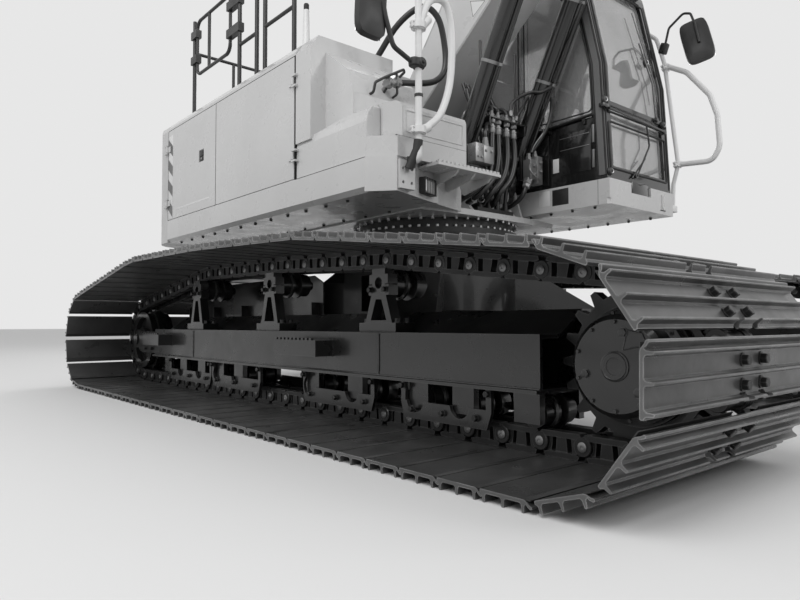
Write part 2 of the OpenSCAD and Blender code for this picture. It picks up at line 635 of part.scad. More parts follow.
// the pins, each between two lugs on the body beside the door; deep is how far they run into it
module hinge_lugs(x, d, deep) {
    for (z = DOOR_Z) {
        shaft_z(x, -half_w - pin_out, z - 16, z + 66, 6);
        for (h = [z - 16, z + 54]) {
            shaft_z(x, -half_w - pin_out, h, h + 12, 9);
            box([min(x, x - 45 * d), -half_w - pin_out - 8, h], [max(x, x - 45 * d), -half_w - pin_out + 8, h + 12]);
            box([min(x - 16 * d, x - 45 * d), -half_w - pin_out - 8, h], [max(x - 16 * d, x - 45 * d), -half_w + deep, h + 12]);
        }
    }
}

// a side door: a panel turned in at its edges; the rear one has a sunk latch
module side_door(x0, x1) {
    rim = 56;
    gap = 5;
    color("gainsboro") difference() {
        box([x0 + gap, -half_w, floor_h + gap], [x1 - gap, -half_w + skin, door_top - gap]);
        box([x0 + rim, -half_w + 15, floor_h + rim], [x1 - rim, -half_w + skin + 1, door_top - rim]);
    }
}
door_back = weight_x + 4;
module side_door_rear() {
    knuckles(rear_pin, 1);
    difference() {
        side_door(door_back, door_split);
        box([door_split - 330, -half_w - 1, floor_h + 410], [door_split - 230, -half_w + 8, floor_h + 510]);
    }
}
module side_door_front() { side_door(door_split, right_front); knuckles(front_pin, -1); }
module side_door_left() { mirror([0, 1, 0]) { side_door(door_back, left_front); knuckles(rear_pin, 1); } }

lap = 22;                 // how far the lid lies over the edge of its opening
hood_pin = [hood_x0 - lap - 12, hood_top + 13];
HOOD_Y = [hood_y0 + 120, hood_y1 - 170];
module engine_hood() {
    rise = 46;
    color("gainsboro") for (y = HOOD_Y) difference() {
        union() {
            shaft(hood_pin, y, y + 50, 10);
            box([hood_pin[0], y, hood_top + 4], [hood_pin[0] + 20, y + 50, hood_top + 20]);
        }
        shaft(hood_pin, y - 1, y + 51, 6 + pin_gap);
    }
    color("gainsboro") difference() {
        box([hood_x0 - lap, hood_y0 - lap, hood_top], [hood_x1 + lap, hood_y1 + lap, hood_top + rise]);
        box([hood_x0 + 10, hood_y0 + 10, hood_top - 1], [hood_x1 - 10, hood_y1 - 10, hood_top + rise - 16]);
    }
}

module front_tank() {
    low = floor_h;
    side = -half_w + 10;
    x0 = bulkhead + seat;
    color("gainsboro") {
        hinge_lugs(front_pin, -1, 16);
        // hinge lugs of the tool box's lid, with their pins
        for (y = LID_Y) {
            for (k = [y - 16, y + 54]) {
                shaft(lid_pin, k, k + 12, 8);
                box([box_x - 15, k, lid_pin[1] - 8], [lid_pin[0], k + 12, lid_pin[1] + 8]);
            }
            shaft(lid_pin, y - 16, y + 66, 5);
        }
        // lower body: bulges out to the house's side, its top rises to the front
        difference() {
            intersection() {
                slab(-half_w, tank_in) polygon([[x0, low], [tank_x, low], [tank_x, tank_top - 30], [tank_x - 25, tank_top],
                    [460, tank_top - 22], [330, tank_top - 48], [60, tank_top - 93], [x0, tank_top - 98]]);
                cross(x0 - 5, tank_x + 5) polygon([[side, low], [side, tank_top - 120], [side + 14, tank_top - 70],
                    [side + 45, tank_top - 25], [side + 90, tank_top], [tank_in, tank_top], [tank_in, low]]);
            }
            box([box_x - 5, box_side - 5, tank_seam], [tank_x + 20, tank_in + 20, tank_top + 60]);
        }
        // corner of the tool box: the side runs on as a chamfer
        translate([0, 0, low]) linear_extrude(tank_seam - 2 - low) polygon([[tank_x + seat, side],
            [tank_front, side + 115], [tank_front, tank_in], [tank_x + seat, tank_in]]);
        // hood's front post, then the body that stands back from the side
        cross(x0, 190) polygon([[side - 10, tank_top - 99], [-half_w, tank_top - 80], [-half_w, door_top], [-half_w + 60, hood_top - seat],
            [-half_w + 115, hood_top - seat], [-half_w + 115, tank_top - 99]]);
        slab(side + 105, tank_in) polygon([[x0, tank_top - 100], [380, tank_top - 45], [box_x - 10, tank_top - 45],
            [box_x - 10, tank_top + 150], [430, tank_top + 310], [190, hood_top - 100], [190, hood_top - seat], [x0, hood_top - seat]]);
    }
}
box_x = 505;              // rear edge of the tool box and its lid
box_side = -half_w + 115;
lid_pin = [box_x + 5, tank_top + 13];
LID_Y = [box_side + 90, tank_in - 140];
module tank_lid() {
    wall = 14;
    low = tank_seam + seat;
    module plan(w) { polygon([[box_x + w, box_side + w], [tank_x + 20, box_side + w], [tank_front - w, box_side + 45 + w],
        [tank_front - w, tank_in - w], [box_x + w, tank_in - w]]); }
    color("gainsboro") difference() {
        intersection() {
            translate([0, 0, low]) linear_extrude(tank_top - low) plan(0);
            slab(-half_w, tank_in) polygon([[box_x, low], [tank_front, low], [tank_front, tank_top - 40],
                [tank_front - 12, tank_top - 12], [tank_front - 40, tank_top], [box_x, tank_top]]);
        }
        translate([0, 0, low - 1]) linear_extrude(tank_top - low - wall) plan(wall);
    }
    color("gainsboro") for (y = LID_Y) difference() {
        union() {
            shaft(lid_pin, y, y + 50, 8);
            box([lid_pin[0] - 5, y, tank_top - 3], [lid_pin[0] + 20, y + 50, tank_top + 8]);
        }
        shaft(lid_pin, y - 1, y + 51, 5 + pin_gap);
    }
}

// side outline of the cab, w inside its outer face
module cab_outline(w) {
    polygon(concat([[cab_back + w, cab_low + w], [cab_front - w, cab_low + w], [cab_x(lean_z) - w, lean_z]],
        arc([cab_x(cab_top - 130) - 130, cab_top - 130], 130 - w, 10, 80, 5),
        arc([cab_back + 120, cab_top - 120], 120 - w, 95, 175, 4)));
}
sill_z = cab_low + 445;   // lower edge of the right window
head_z = cab_top - 145;   // upper edge of the windows
module cab_shell() {
    pillar = 95;
    color("#2a2a2a") difference() {
        union() {
            slab(cab_right, half_w) cab_outline(0);
            // roof visor and the lower front panel's bar
            slab(cab_right + 40, half_w - 40) polygon([[cab_x(cab_top - 60) - 160, cab_top - 70], [cab_x(cab_top - 60) + 60, cab_top - 75],
                [cab_x(cab_top - 60) + 55, cab_top - 55], [cab_x(cab_top - 60) - 160, cab_top - 30]]);
        }
        slab(cab_right + cab_t, half_w - cab_t) cab_outline(cab_t);
        // right window, door opening, left rear window
        slab(cab_right - 1, cab_right + cab_t + 1) polygon([[cab_back + 130, sill_z], [cab_x(sill_z) - pillar, sill_z],
            [cab_x(lean_z) - pillar, lean_z], [cab_x(head_z) - pillar, head_z], [cab_back + 130, head_z]]);
        slab(half_w - cab_t - 1, half_w + 1) polygon([[door_x0, cab_low + 66], [door_x1, cab_low + 66],
            [door_x1, lean_z], [door_x1 - 110, head_z], [door_x0, head_z]]);
        slab(half_w - cab_t - 1, half_w + 1) polygon([[cab_back + 120, sill_z + 130], [door_x0 - 90, sill_z + 130],
            [door_x0 - 90, head_z], [cab_back + 120, head_z]]);
        // windscreen in two parts, rear window, roof hatch
        for (z = [[cab_low + 95, lean_z - 290], [lean_z - 260, head_z]])
            box([cab_x(cab_top) - 200, cab_right + 85, z[0]], [cab_front + 50, half_w - 85, z[1]]);
        box([cab_back - 10, cab_right + 100, sill_z + 130], [cab_back + cab_t + 10, half_w - 100, head_z]);
        box([300, cab_right + 170, cab_top - cab_t - 10], [820, half_w - 170, cab_top + 10]);
    }
    // hinge brackets of the door, with their pins
    color("#2a2a2a") for (z = HINGE_Z) {
        for (h = [z, z + 80]) {
            shaft_z(door_x0, half_w + door_out, h, h + 20, 9);
            box([door_x0 - 45, half_w + door_out - 8, h], [door_x0, half_w + door_out + 8, h + 20]);
            box([door_x0 - 45, half_w - 5, h], [door_x0 - 14, half_w + door_out + 8, h + 20]);
        }
        shaft_z(door_x0, half_w + door_out, z, z + 100, 6);
    }
}
HINGE_Z = [cab_low + 300, cab_low + 1150];
door_out = 16;            // the cab door's hinge pins from the cab's side
module pane(x0, x1, y, z0, z1) { slab(y, y + glass_t) polygon([[x0, z0], [x1, z0], [x1, z1], [x0, z1]]); }
module cab_glass() {
    g = glass_gap;
    pillar = 95 + g;
    color("#9fb0b8") {
        slab(cab_right + 20, cab_right + 20 + glass_t) polygon([[cab_back + 130 + g, sill_z + g], [cab_x(sill_z) - pillar, sill_z + g],
            [cab_x(lean_z) - pillar, lean_z], [cab_x(head_z) - pillar, head_z - g], [cab_back + 130 + g, head_z - g]]);
        pane(cab_back + 120 + g, door_x0 - 90 - g, half_w - 30, sill_z + 130 + g, head_z - g);
        for (z = [[cab_low + 95 + g, lean_z - 290 - g], [lean_z - 260 + g, lean_z, head_z - g]])
            slab(cab_right + 85 + g, half_w - 85 - g) polygon(concat(
                [for (h = z) [cab_x(h) - 22, h]], [for (i = [len(z) - 1:-1:0]) [cab_x(z[i]) - 30, z[i]]]));
        box([cab_back + 20, cab_right + 100 + g, sill_z + 130 + g], [cab_back + 20 + glass_t, half_w - 100 - g, head_z - g]);
        box([300 + g, cab_right + 170 + g, cab_top - 26], [820 - g, half_w - 170 - g, cab_top - 26 + glass_t]);
    }
}
module cab_door() {
    gap = 6;
    rim = 64;
    wheel = door_x1 - gap - rim;
    y0 = half_w - cab_t + 10;
    color("#2a2a2a") {
        difference() {
            slab(y0, half_w + 5) polygon([[door_x0 + gap, cab_low + 72], [door_x1 - gap, cab_low + 72],
                [door_x1 - gap, lean_z], [door_x1 - 110 - gap, head_z - gap], [door_x0 + gap, head_z - gap]]);
            for (z = [[cab_low + 150, sill_z + 60], [sill_z + 120, head_z - rim]])
                slab(y0 - 1, half_w + 6) polygon([[door_x0 + 70, z[0]], [wheel, z[0]], [wheel, min(z[1], lean_z)],
                    [z[1] > lean_z ? wheel - 100 : wheel, z[1]], [door_x0 + 70, z[1]]]);
        }
        // knuckles round the hinge pins
        for (z = HINGE_Z) difference() {
            union() {
                shaft_z(door_x0, half_w + door_out, z + 24, z + 76, 11);
                box([door_x0, half_w + 4, z + 24], [door_x0 + 30, half_w + door_out - 2, z + 76]);
            }
            shaft_z(door_x0, half_w + door_out, z, z + 100, 6 + pin_gap);
        }
        shaft_z(door_x1 - 45, half_w + 22, sill_z + 150, sill_z + 330, 9);
        for (z = [sill_z + 155, sill_z + 310]) box([door_x1 - 52, half_w, z], [door_x1 - 38, half_w + 24, z + 14]);
    }
    color("#9fb0b8") for (z = [[cab_low + 150, sill_z + 60], [sill_z + 120, head_z - rim]])
        slab(half_w - 30, half_w - 30 + glass_t) polygon([[door_x0 + 70 + glass_gap, z[0] + glass_gap], [wheel - glass_gap, z[0] + glass_gap],
            [wheel - glass_gap, min(z[1] - glass_gap, lean_z)], [(z[1] > lean_z ? wheel - 100 : wheel) - glass_gap, z[1] - glass_gap],
            [door_x0 + 70 + glass_gap, z[1] - glass_gap]]);
}

module seat() {
    base = floor_top + 300;
    color("#333333") {
        box([160, cab_mid - 170, floor_top], [500, cab_mid + 170, base + 5]);
        box([100, cab_mid - 250, base], [600, cab_mid + 250, base + 130]);
        slab(cab_mid - 240, cab_mid + 240) polygon([[100, base + 125], [230, base + 125], [150, base + 700], [40, base + 780],
            [10, base + 700]]);
        slab(cab_mid - 130, cab_mid + 130) polygon([[40, base + 750], [120, base + 750], [90, base + 930], [20, base + 930]]);
    }
}
module console() {
    color("#333333") {
        for (y = [cab_mid - 345, cab_mid + 275]) slab(y, y + 70) polygon([[150, floor_top], [560, floor_top], [560, floor_top + 380],
            [640, floor_top + 520], [640, floor_top + 560], [180, floor_top + 560]]);
        for (y = [cab_mid - 310, cab_mid + 310]) shaft_z(590, y, floor_top + 558, floor_top + 700, 22);
        // pedals with their levers
        for (y = [cab_mid - 110, cab_mid + 70]) slab(y, y + 40) polygon([[880, floor_top], [960, floor_top], [930, floor_top + 500],
            [905, floor_top + 500]]);
        slab(cab_mid - 330, cab_mid - 290) polygon([[1040, floor_top], [1090, floor_top], [1080, floor_top + 820], [1040, floor_top + 820]]);
        slab(cab_mid - 360, cab_mid - 260) polygon([[1000, floor_top + 700], [1060, floor_top + 700], [1040, floor_top + 900],
            [980, floor_top + 900]]);
    }
}

// handrails on the engine cover: x of each post
RAIL_POSTS = [-220, -640, -770, -1060, -1950];
rail_top = 3300;
rail_mid = 2790;
rail_y = -half_w + 125;
module rear_rails() {
    thin = rail_r - 3;
    // a closed loop of tube with round corners
    module loop(x0, x1, z0, z1) {
        xm = (x0 + x1) / 2;
        tube([[xm, z0], [x0, z0], [x0, z1], [x1, z1], [x1, z0], [xm, z0]], thin, 70);
    }
    color("#2a2a2a") {
        translate([0, rail_y, 0]) {
            for (p = [[RAIL_POSTS[0], RAIL_POSTS[1]], [RAIL_POSTS[2], RAIL_POSTS[3]]]) {
                tube([[p[0], hood_top], [p[0], rail_top], [p[1], rail_top], [p[1], hood_top]], rail_r, 90);
                tube([[p[0], rail_mid], [p[1], rail_mid]], thin, 70);
            }
            tube([[RAIL_POSTS[4], hood_top], [RAIL_POSTS[4], rail_top]], rail_r, 90);
            // gate between the posts, with its clamps
            loop(-1230, RAIL_POSTS[4] + 60, rail_mid, rail_top - 25);
            tube([[-1640, rail_mid], [-1640, rail_top - 25]], thin, 70);
            for (z = [2900, 3130]) {
                box([-1255, -26, z], [-1035, 26, z + 70]);
                box([RAIL_POSTS[4] - 30, -26, z], [RAIL_POSTS[4] + 85, 26, z + 70]);
            }
        }
        // rail across the machine behind the hood, and the small gate at the corner
        translate([RAIL_POSTS[4], 0, 0]) rotate([0, 0, 90]) {
            tube([[-420, hood_top], [-420, 3010], [rail_y, 3010]], thin, 80);
            tube([[-770, hood_top], [-770, 3010]], thin, 80);
        }
    }
}
RIGHT_TUBE = [990, -1065];    // the right front handrail's post: x, y
LEFT_TUBE_Y = half_w + 55;    // plane of the left front handrail
MIRROR_Z = 2020;              // where the right mirror's arm is clamped
module front_rails() {
    thin = 16;
    color("white") {
        // right: post from a bracket on the skirt, with its guard loop
        translate([0, RIGHT_TUBE[1], 0]) tube([[tank_front + 14 + seat, floor_h - 30], [RIGHT_TUBE[0], floor_h - 30],
            [RIGHT_TUBE[0], 2560]], 20, 60);
        translate([RIGHT_TUBE[0], 0, 0]) rotate([0, 0, 90]) tube([[RIGHT_TUBE[1], 1640], [-900, 1760], [-800, 1960],
            [-785, 2330], [-870, 2450], [-1000, 2390], [RIGHT_TUBE[1], 2240]], 22, 90);
        for (z = [1615, 2215]) shaft_z(RIGHT_TUBE[0], RIGHT_TUBE[1], z, z + 50, 32);
        // left: post from the deck to the cab's front pillar, with its guard loop
        translate([0, LEFT_TUBE_Y, 0]) {
            tube([[1070, 2870], [1150, 2800], [1215, 2580], [1310, 1770], [1270, 1620], [1262, 1440]], thin, 60);
            tube([[1225, 2560], [1390, 2460], [1560, 2240], [1610, 2080], [1625, 1840], [1570, 1745], [1308, 1765]], 20, 70);
        }
        box([1235, half_w + seat, 1400], [1289, LEFT_TUBE_Y + 20, 1450]);
        shaft([1072, 2868], half_w + seat, LEFT_TUBE_Y, 13);
    }
}
// a mirror's housing, its face towards +x
module mirror_head(w, h) {
    cross(0, 55) translate([-w / 2, -h / 2]) difference() {
        square([w, h]);
        for (i = [0, 1], k = [0, 1]) translate([i * w, k * h]) rotate(45) square(38, center = true);
    }
}
module mirrors() {
    arm = 9;
    color("#222222") {
        // right: clamp round the post, arm bent up to the housing
        difference() {
            shaft_z(RIGHT_TUBE[0], RIGHT_TUBE[1], MIRROR_Z - 30, MIRROR_Z + 30, 40);
            shaft_z(RIGHT_TUBE[0], RIGHT_TUBE[1], MIRROR_Z - 40, MIRROR_Z + 40, 20 + seat);
        }
        translate([RIGHT_TUBE[0], 0, 0]) rotate([0, 0, 90])
            tube([[RIGHT_TUBE[1] - 35, MIRROR_Z], [-1255, MIRROR_Z + 50], [-1315, MIRROR_Z + 210]], arm + 2, 60);
        translate([RIGHT_TUBE[0] - 45, -1395, MIRROR_Z + 230]) mirror_head(190, 350);
        // left: block on the post's bend, arm over to the housing
        difference() {
            slab(LEFT_TUBE_Y - 30, LEFT_TUBE_Y + 30) translate([1205, 2700]) rotate(-20) square([70, 90], center = true);
            translate([0, LEFT_TUBE_Y, 0]) translate([1150, 0, 2800]) rotate([0, 90 + 73.5, 0])
                cylinder(h = 300, r = 16 + seat, center = false, $fn = 24);
        }
        translate([0, LEFT_TUBE_Y, 0]) tube([[1225, 2735], [1255, 2850], [1370, 2925], [1430, 2900], [1480, 2760]], arm, 40);
        translate([1470, LEFT_TUBE_Y, 2680]) rotate([0, 14, 0]) rotate([0, 0, 90]) translate([-27, 0, 0]) mirror_head(180, 340);
    }
}
// lamps: the front face runs back at this angle, seen from above
lamp_turn = atan2(tank_front - 722, half_w - 120 - 616);
module work_lamps() {
    color("#dddddd") {
        translate([tank_front - (half_w - 120 - 845) * tan(lamp_turn), -845, 0]) rotate([0, 0, lamp_turn])
            box([seat * 2, -80, house_low + 30], [50, 80, floor_h - 70]);
        for (y = [cab_right + 130, half_w - 240])
            box([cab_x(cab_top) - 170, y, cab_top + seat], [cab_x(cab_top) - 105, y + 110, cab_top + 80]);
    }
}
module valve_bank() {
    // hose fittings that stand on the frame in front of the boom
    color("#3a3a3a") {
        box([frame_front - 70, -190, deck_z + seat], [frame_front - 10, 190, deck_z + 30]);
        for (i = [0:3]) shaft_z(frame_front - 40, -135 + 90 * i, deck_z + 28, deck_z + 90, 20);
    }
}

// Arm. The boom and the dipper are drawn along the line of their end pins
module in_boom() { translate([foot[0], 0, foot[1]]) rotate([0, -boom_a, 0]) children(); }
module in_dipper() { translate([tip[0], 0, tip[1]]) rotate([0, -dipper_a, 0]) children(); }

// side outline of the boom, w inside its outer face
module boom_outline(w) {
    polygon(concat([[-40, 150 - 1.15 * w], [-90, 60], [-90, -50], [0, -93 + 1.05 * w], bend_in + [107, -348 + 1.05 * w]],
        arc([boom_l, 0], 120 - w, -105, 64, 8), arc(bend_in + [196, -222], 720 - w, 72, 128, 6)));
}
plate = 20;
module boom() {
    eye = bend_in;
    color("gainsboro") in_boom() difference() {
        union() {
            slab(-boom_y, boom_y) boom_outline(0);
            slabs(boom_y - 1, ram_y - rod_r - 2) translate(eye) circle(72);
            slab(-boom_y, boom_y) circle(130);
            slabs(boom_y - 1, boom_y + 8) translate([boom_l, 0]) circle(95);
            // bracket of the dipper's cylinder, and the wear pads of its foot
            slabs(78, 103) strap(stick_in, stick_in + [20, -500], 90, 200);
            // pads that the hose clamps are bolted to, along the top plate
            for (k = [0:3]) slab(-60, 60) translate(bend_in + [560, 368] + (k + 1.4) * 330 * [cos(-25.9), sin(-25.9)])
                rotate(-25.9) square([60, 34], center = true);
        }
        slab(-boom_y + plate, boom_y - plate) difference() {
            boom_outline(plate);
            circle(110);
            translate([boom_l, 0]) circle(630);
            translate(eye) circle(90);
        }
        // fork for the dipper; its two arms are castings, set on at a seam
        slab(-150, 150) translate([boom_l, 0]) circle(595);
        slabs(150 - seat, 150) translate([boom_l - 600, -400]) square([200, 1000]);
        slabs(149, boom_y + 1) translate([boom_l - 600, -400]) square([seat, 1000]);
        // the cylinder's bracket is set on the top plate in the same way
        slabs(77, 104) difference() {
            boom_outline(-seat);
            boom_outline(0);
        }
        shaft([0, 0], -boom_y - 1, boom_y + 1, 50 + pin_gap);
        shaft([boom_l, 0], -boom_y - 9, boom_y + 9, 45 + pin_gap);
        shaft(stick_in, -110, 110, 40 + pin_gap);
    }
    color("silver") {
        shaft(tip, -boom_y - 18, boom_y + 18, 45);
        shaft(stick_foot, -112, 112, 40);
    }
}

module dipper() {
    lever = lever_l * [cos(lever_a), sin(lever_a)];
    rock = [dipper_l - 420, 0];
    crowd = [380, 340];
    color("gainsboro") in_dipper() difference() {
        union() {
            slab(-144, 144) polygon(concat([lever + [40, -75]], arc([0, 0], 130, 225, 280, 4), [[300, -190], [dipper_l - 250, -100]],
                arc([dipper_l, 0], 100, -90, 90, 6), [rock + [-100, 130], [700, 215], [100, 250], lever + [40, 70]]));
            slabs(78, 103) strap(lever, [-200, 0], 90, 200);
            slabs(68, 93) strap(crowd, [400, 150], 75, 150);
            slabs(143, 149) { circle(110); translate([dipper_l, 0]) circle(85); }
        }
        slab(-124, 124) polygon([[350, -140], [dipper_l - 350, -60], rock + [-150, 90], [700, 175], [350, 190]]);
        slab(-77, 77) translate(lever) circle(260);
        shaft([0, 0], -150, 150, 45 + pin_gap);
        shaft([dipper_l, 0], -150, 150, 40 + pin_gap);
        shaft(rock, -150, 150, 40 + pin_gap);
        shaft(crowd, -100, 100, 35 + pin_gap);

    }
    color("silver") {
        shaft(rocker_foot, -185, 185, 40);
        shaft(crowd_foot, -102, 102, 35);
    }
}

tooth_n = 5;
eye_r = 25;               // bore of the bucket's lifting eye
LIFT_EYE = back_c + (back_r + 48) * [cos(10), sin(10)];
module bucket() {
    w = bucket_w / 2;
    color("#4a4a4a") translate([hinge[0], 0, hinge[1]]) rotate([0, curl, 0]) {
        difference() {
            union() {
                slab(-w, w) polygon(bucket_line);
                slabs(182, 222) {
                    polygon([[-95, 0], [-60, -300], [430, -300], [520, -60], EAR + [75, 10], EAR + [-20, 72], [0, 95]]);
                    translate(EAR) circle(75);
                    circle(95);
                }
                // wear strips round the back, side edges, lifting eye
                for (y = [-w + 130, -30, w - 190]) slab(y, y + 60) polygon(concat(arc(back_c, back_r + 14, 20, -92, 12),
                    arc(back_c, back_r - 10, -92, 20, 12)));
                slabs(w - 1, w + 14) polygon([[-85, -560], [30, -560], [40, -900], [-80, -1330], lip + [10, 60], lip + [-18, 90], [-190, -1100]]);
                slab(-18, 18) { translate(LIFT_EYE) circle(58); polygon([LIFT_EYE + [-90, -90], LIFT_EYE + [0, -58], LIFT_EYE + [0, 58], LIFT_EYE + [-80, 110]]); }
            }
            slab(-w + 25, w - 25) polygon(concat(arc(back_c, back_r - 25, 110, -100, 18),
                [lip + [-40, 90], [-500, -1200], [-500, -150]]));
            shaft([0, 0], -w - 1, w + 1, 40 + pin_gap);
            shaft(EAR, -w - 1, w + 1, 35 + pin_gap);
            shaft(LIFT_EYE, -50, 50, eye_r);
            slab(-w - 20, w + 20) translate([-1500, -100]) square([1390, 200]);
        }
        // teeth on their adapters
        for (i = [0:tooth_n - 1]) translate([0, -w + 60 + i * (bucket_w - 120) / (tooth_n - 1), 0]) {
            slab(-46, 46) polygon([lip + [20, 165], lip + [-28, 150], lip + [-40, 60], lip + [30, 52], lip + [90, 130]]);
            slab(-32, 32) polygon([lip + [60, 130], lip + [-30, 60], lip + [5, 0], lip + [24, 2], lip + [100, 110]]);
        }
    }
    color("silver") shaft(hinge, -225, 225, 40);
}

// Cylinder between two pins: a tube at the foot pin, a rod with its eye at the other
module ram_tube(a, b, y, r, l, eye) {
    d = bearing(b - a);
    neck_l = 105;             // flat neck between the eye and the barrel
    neck = r - sqrt(max(0, r * r - eye * eye / 4)) + 2;
    translate([a[0], y, a[1]]) rotate([0, -d, 0]) {
        difference() {
            union() {
                rotate([90, 0, 0]) cylinder(h = eye, r = r, center = true);
                translate([0, -eye / 2, -r + neck]) cube([neck_l + 10, eye, 2 * (r - neck)]);
                translate([neck_l, 0, 0]) rotate([0, 90, 0]) cylinder(h = l - neck_l, r = r);
                translate([l - 90, 0, 0]) rotate([0, 90, 0]) cylinder(h = 90, r = r + 8);
                for (x = [neck_l + 45, l - 220]) translate([x, -24, 0]) cube([50, 48, r + 22]);
            }
            rotate([90, 0, 0]) cylinder(h = 2 * r + eye, r = 45 + pin_gap, center = true);
            translate([110, 0, 0]) rotate([0, 90, 0]) cylinder(h = l, r = r - 14);
            translate([l - 60, 0, 0]) rotate([0, 90, 0]) cylinder(h = 100, r = rod_r + 1);
        }
    }
}
module ram_rod(a, b, y, r, l, eye, tube_r) {
    d = bearing(b - a);
    translate([b[0], y, b[1]]) rotate([0, -d, 0]) {
        difference() {
            union() {
                rotate([90, 0, 0]) cylinder(h = eye, r = r, center = true);
                rotate([0, -90, 0]) cylinder(h = l, r = rod_r);
            }
            rotate([90, 0, 0]) cylinder(h = eye + 2, r = 40, center = true);
        }
        translate([-l, 0, 0]) rotate([0, -90, 0]) cylinder(h = 60, r = tube_r - 15);
    }
}
module boom_ram_tubes() { color("#2f2f2f") for (y = [-ram_y, ram_y]) ram_tube(ram, ram_eye, y, ram_r, 1640, 70); }
module boom_ram_rods() { color("#dcdcdc") for (y = [-ram_y, ram_y]) ram_rod(ram, ram_eye, y, 75, 1650, 60, ram_r); }
module dipper_ram_tube() { color("#2f2f2f") ram_tube(stick_foot, stick_eye, 0, 72, 1750, 120); }
module dipper_ram_rod() { color("#dcdcdc") ram_rod(stick_foot, stick_eye, 0, 80, 1720, 110, 72); }
module bucket_ram_tube() { color("#2f2f2f") ram_tube(crowd_foot, rocker_end, 0, 62, 1560, 100); }
module bucket_ram_rod() { color("#dcdcdc") ram_rod(crowd_foot, rocker_end, 0, 70, 1300, 100, 62); }

module rocker() {
    color("gainsboro") slabs(150, 176) difference() {
        strap(rocker_foot, rocker_end, 75, 65);
        translate(rocker_foot) circle(40 + pin_gap);
    }
    color("silver") for (s = [-1, 1]) shaft(rocker_end, s * 118 - 60, s * 118 + 60, 35);
}
module link() {
    color("gainsboro") {
        slabs(62, 145) difference() {
            strap(rocker_end, ear_pin, 65, 70);
            translate(rocker_end) circle(35 + pin_gap);
        }
        slab(-175, 175) translate(ear_pin) circle(68);
    }
}

module place() { translate([-origin_x, 0, 0]) children(); }
place() car_body();
place() right_side() track_frame();  // track_frame_right
place() left_side() track_frame();  // track_frame_left
place() right_side() track();  // track_right
place() left_side() track();  // track_left
place() right_side() sprocket();  // sprocket_right
place() left_side() sprocket();  // sprocket_left
place() right_side() final_drive();  // final_drive_right
place() left_side() final_drive();  // final_drive_left
place() right_side() idler();  // idler_right
place() left_side() idler();  // idler_left
place() right_side() rollers();  // rollers_right
place() left_side() rollers();  // rollers_left
place() right_side() roller_guards();  // roller_guards_right
place() left_side() roller_guards();  // roller_guards_left
place() right_side() carrier_stands();  // carrier_stands_right
place() left_side() carrier_stands();  // carrier_stands_left
place() slew_ring_lower();
place() slew_ring_upper();
place() main_frame();
place() deck_skirts();
place() counterweight();
place() engine_block();
place() cover_panels();
place() front_tank();
place() cab_shell();
place() cab_glass();
place() seat();
place() console();
place() rear_rails();
place() front_rails();
place() mirrors();
place() work_lamps();
place() valve_bank();
place() cab_door();
place() side_door_rear();
place() side_door_front();
place() side_door_left();
place() engine_hood();
place() tank_lid();
place() boom();
place() dipper();
place() bucket();
place() boom_ram_tubes();
place() boom_ram_rods();
place() dipper_ram_tube();
place() dipper_ram_rod();
place() bucket_ram_tube();
place() bucket_ram_rod();
place() rocker();
place() link();
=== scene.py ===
# Crawler excavator with extra wide track shoes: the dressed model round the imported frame.
# Places are in metres. spot() takes them from the slew axis, as the part's source does.
import bpy
import bmesh
import json
import math
from mathutils import Matrix, Vector
from mathutils.bvhtree import BVHTree


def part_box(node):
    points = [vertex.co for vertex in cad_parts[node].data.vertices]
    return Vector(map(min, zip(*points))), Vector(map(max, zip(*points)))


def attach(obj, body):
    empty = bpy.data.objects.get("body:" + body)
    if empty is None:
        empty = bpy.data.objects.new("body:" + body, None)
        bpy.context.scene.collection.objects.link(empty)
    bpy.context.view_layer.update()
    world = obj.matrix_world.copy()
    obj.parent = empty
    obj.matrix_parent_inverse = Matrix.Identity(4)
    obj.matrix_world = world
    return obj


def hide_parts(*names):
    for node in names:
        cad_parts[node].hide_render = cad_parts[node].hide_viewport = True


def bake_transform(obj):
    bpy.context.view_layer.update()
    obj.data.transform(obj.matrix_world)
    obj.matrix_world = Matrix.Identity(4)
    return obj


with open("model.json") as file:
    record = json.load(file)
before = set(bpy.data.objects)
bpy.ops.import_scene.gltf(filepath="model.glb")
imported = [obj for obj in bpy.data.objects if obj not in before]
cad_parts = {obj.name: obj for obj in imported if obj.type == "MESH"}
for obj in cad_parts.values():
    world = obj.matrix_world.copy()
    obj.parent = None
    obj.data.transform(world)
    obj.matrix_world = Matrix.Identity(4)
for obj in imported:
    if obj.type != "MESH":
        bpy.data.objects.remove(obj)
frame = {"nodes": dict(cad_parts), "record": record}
scene = bpy.context.scene
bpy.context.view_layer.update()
joints = {joint["name"]: joint for joint in frame["record"]["behaviour"]["joints"]}
slewX = joints["slew"]["pos_m"][0]
print("stage: frame loaded")


def spot(x, y, z):
    return Vector((x + slewX, y, z))


toWorld = Matrix.Translation((slewX, 0, 0))


photoCamera = {
    "place": (3.67, -3.489, 0.5456),
    "yaw": 139.58,      # degrees from +X
    "pitch": 2.131,
    "roll": -0.103,
    "lens": 29.076,
}
yaw, pitch, roll = (math.radians(photoCamera[key]) for key in ("yaw", "pitch", "roll"))
ahead = Vector((math.cos(pitch) * math.cos(yaw), math.cos(pitch) * math.sin(yaw), math.sin(pitch)))
sideways = Vector((math.sin(yaw), -math.cos(yaw), 0))
upwards = sideways.cross(ahead)
right = math.cos(roll) * sideways + math.sin(roll) * upwards
above = math.cos(roll) * upwards - math.sin(roll) * sideways
lens = bpy.data.cameras.new("photoCamera")
lens.lens = photoCamera["lens"]
lens.clip_end = 500
eye = bpy.data.objects.new("photoCamera", lens)
scene.collection.objects.link(eye)
eye.matrix_world = Matrix.Translation(spot(*photoCamera["place"])) @ Matrix((
    (right.x, above.x, -ahead.x), (right.y, above.y, -ahead.y), (right.z, above.z, -ahead.z))).to_4x4()
scene.camera = eye
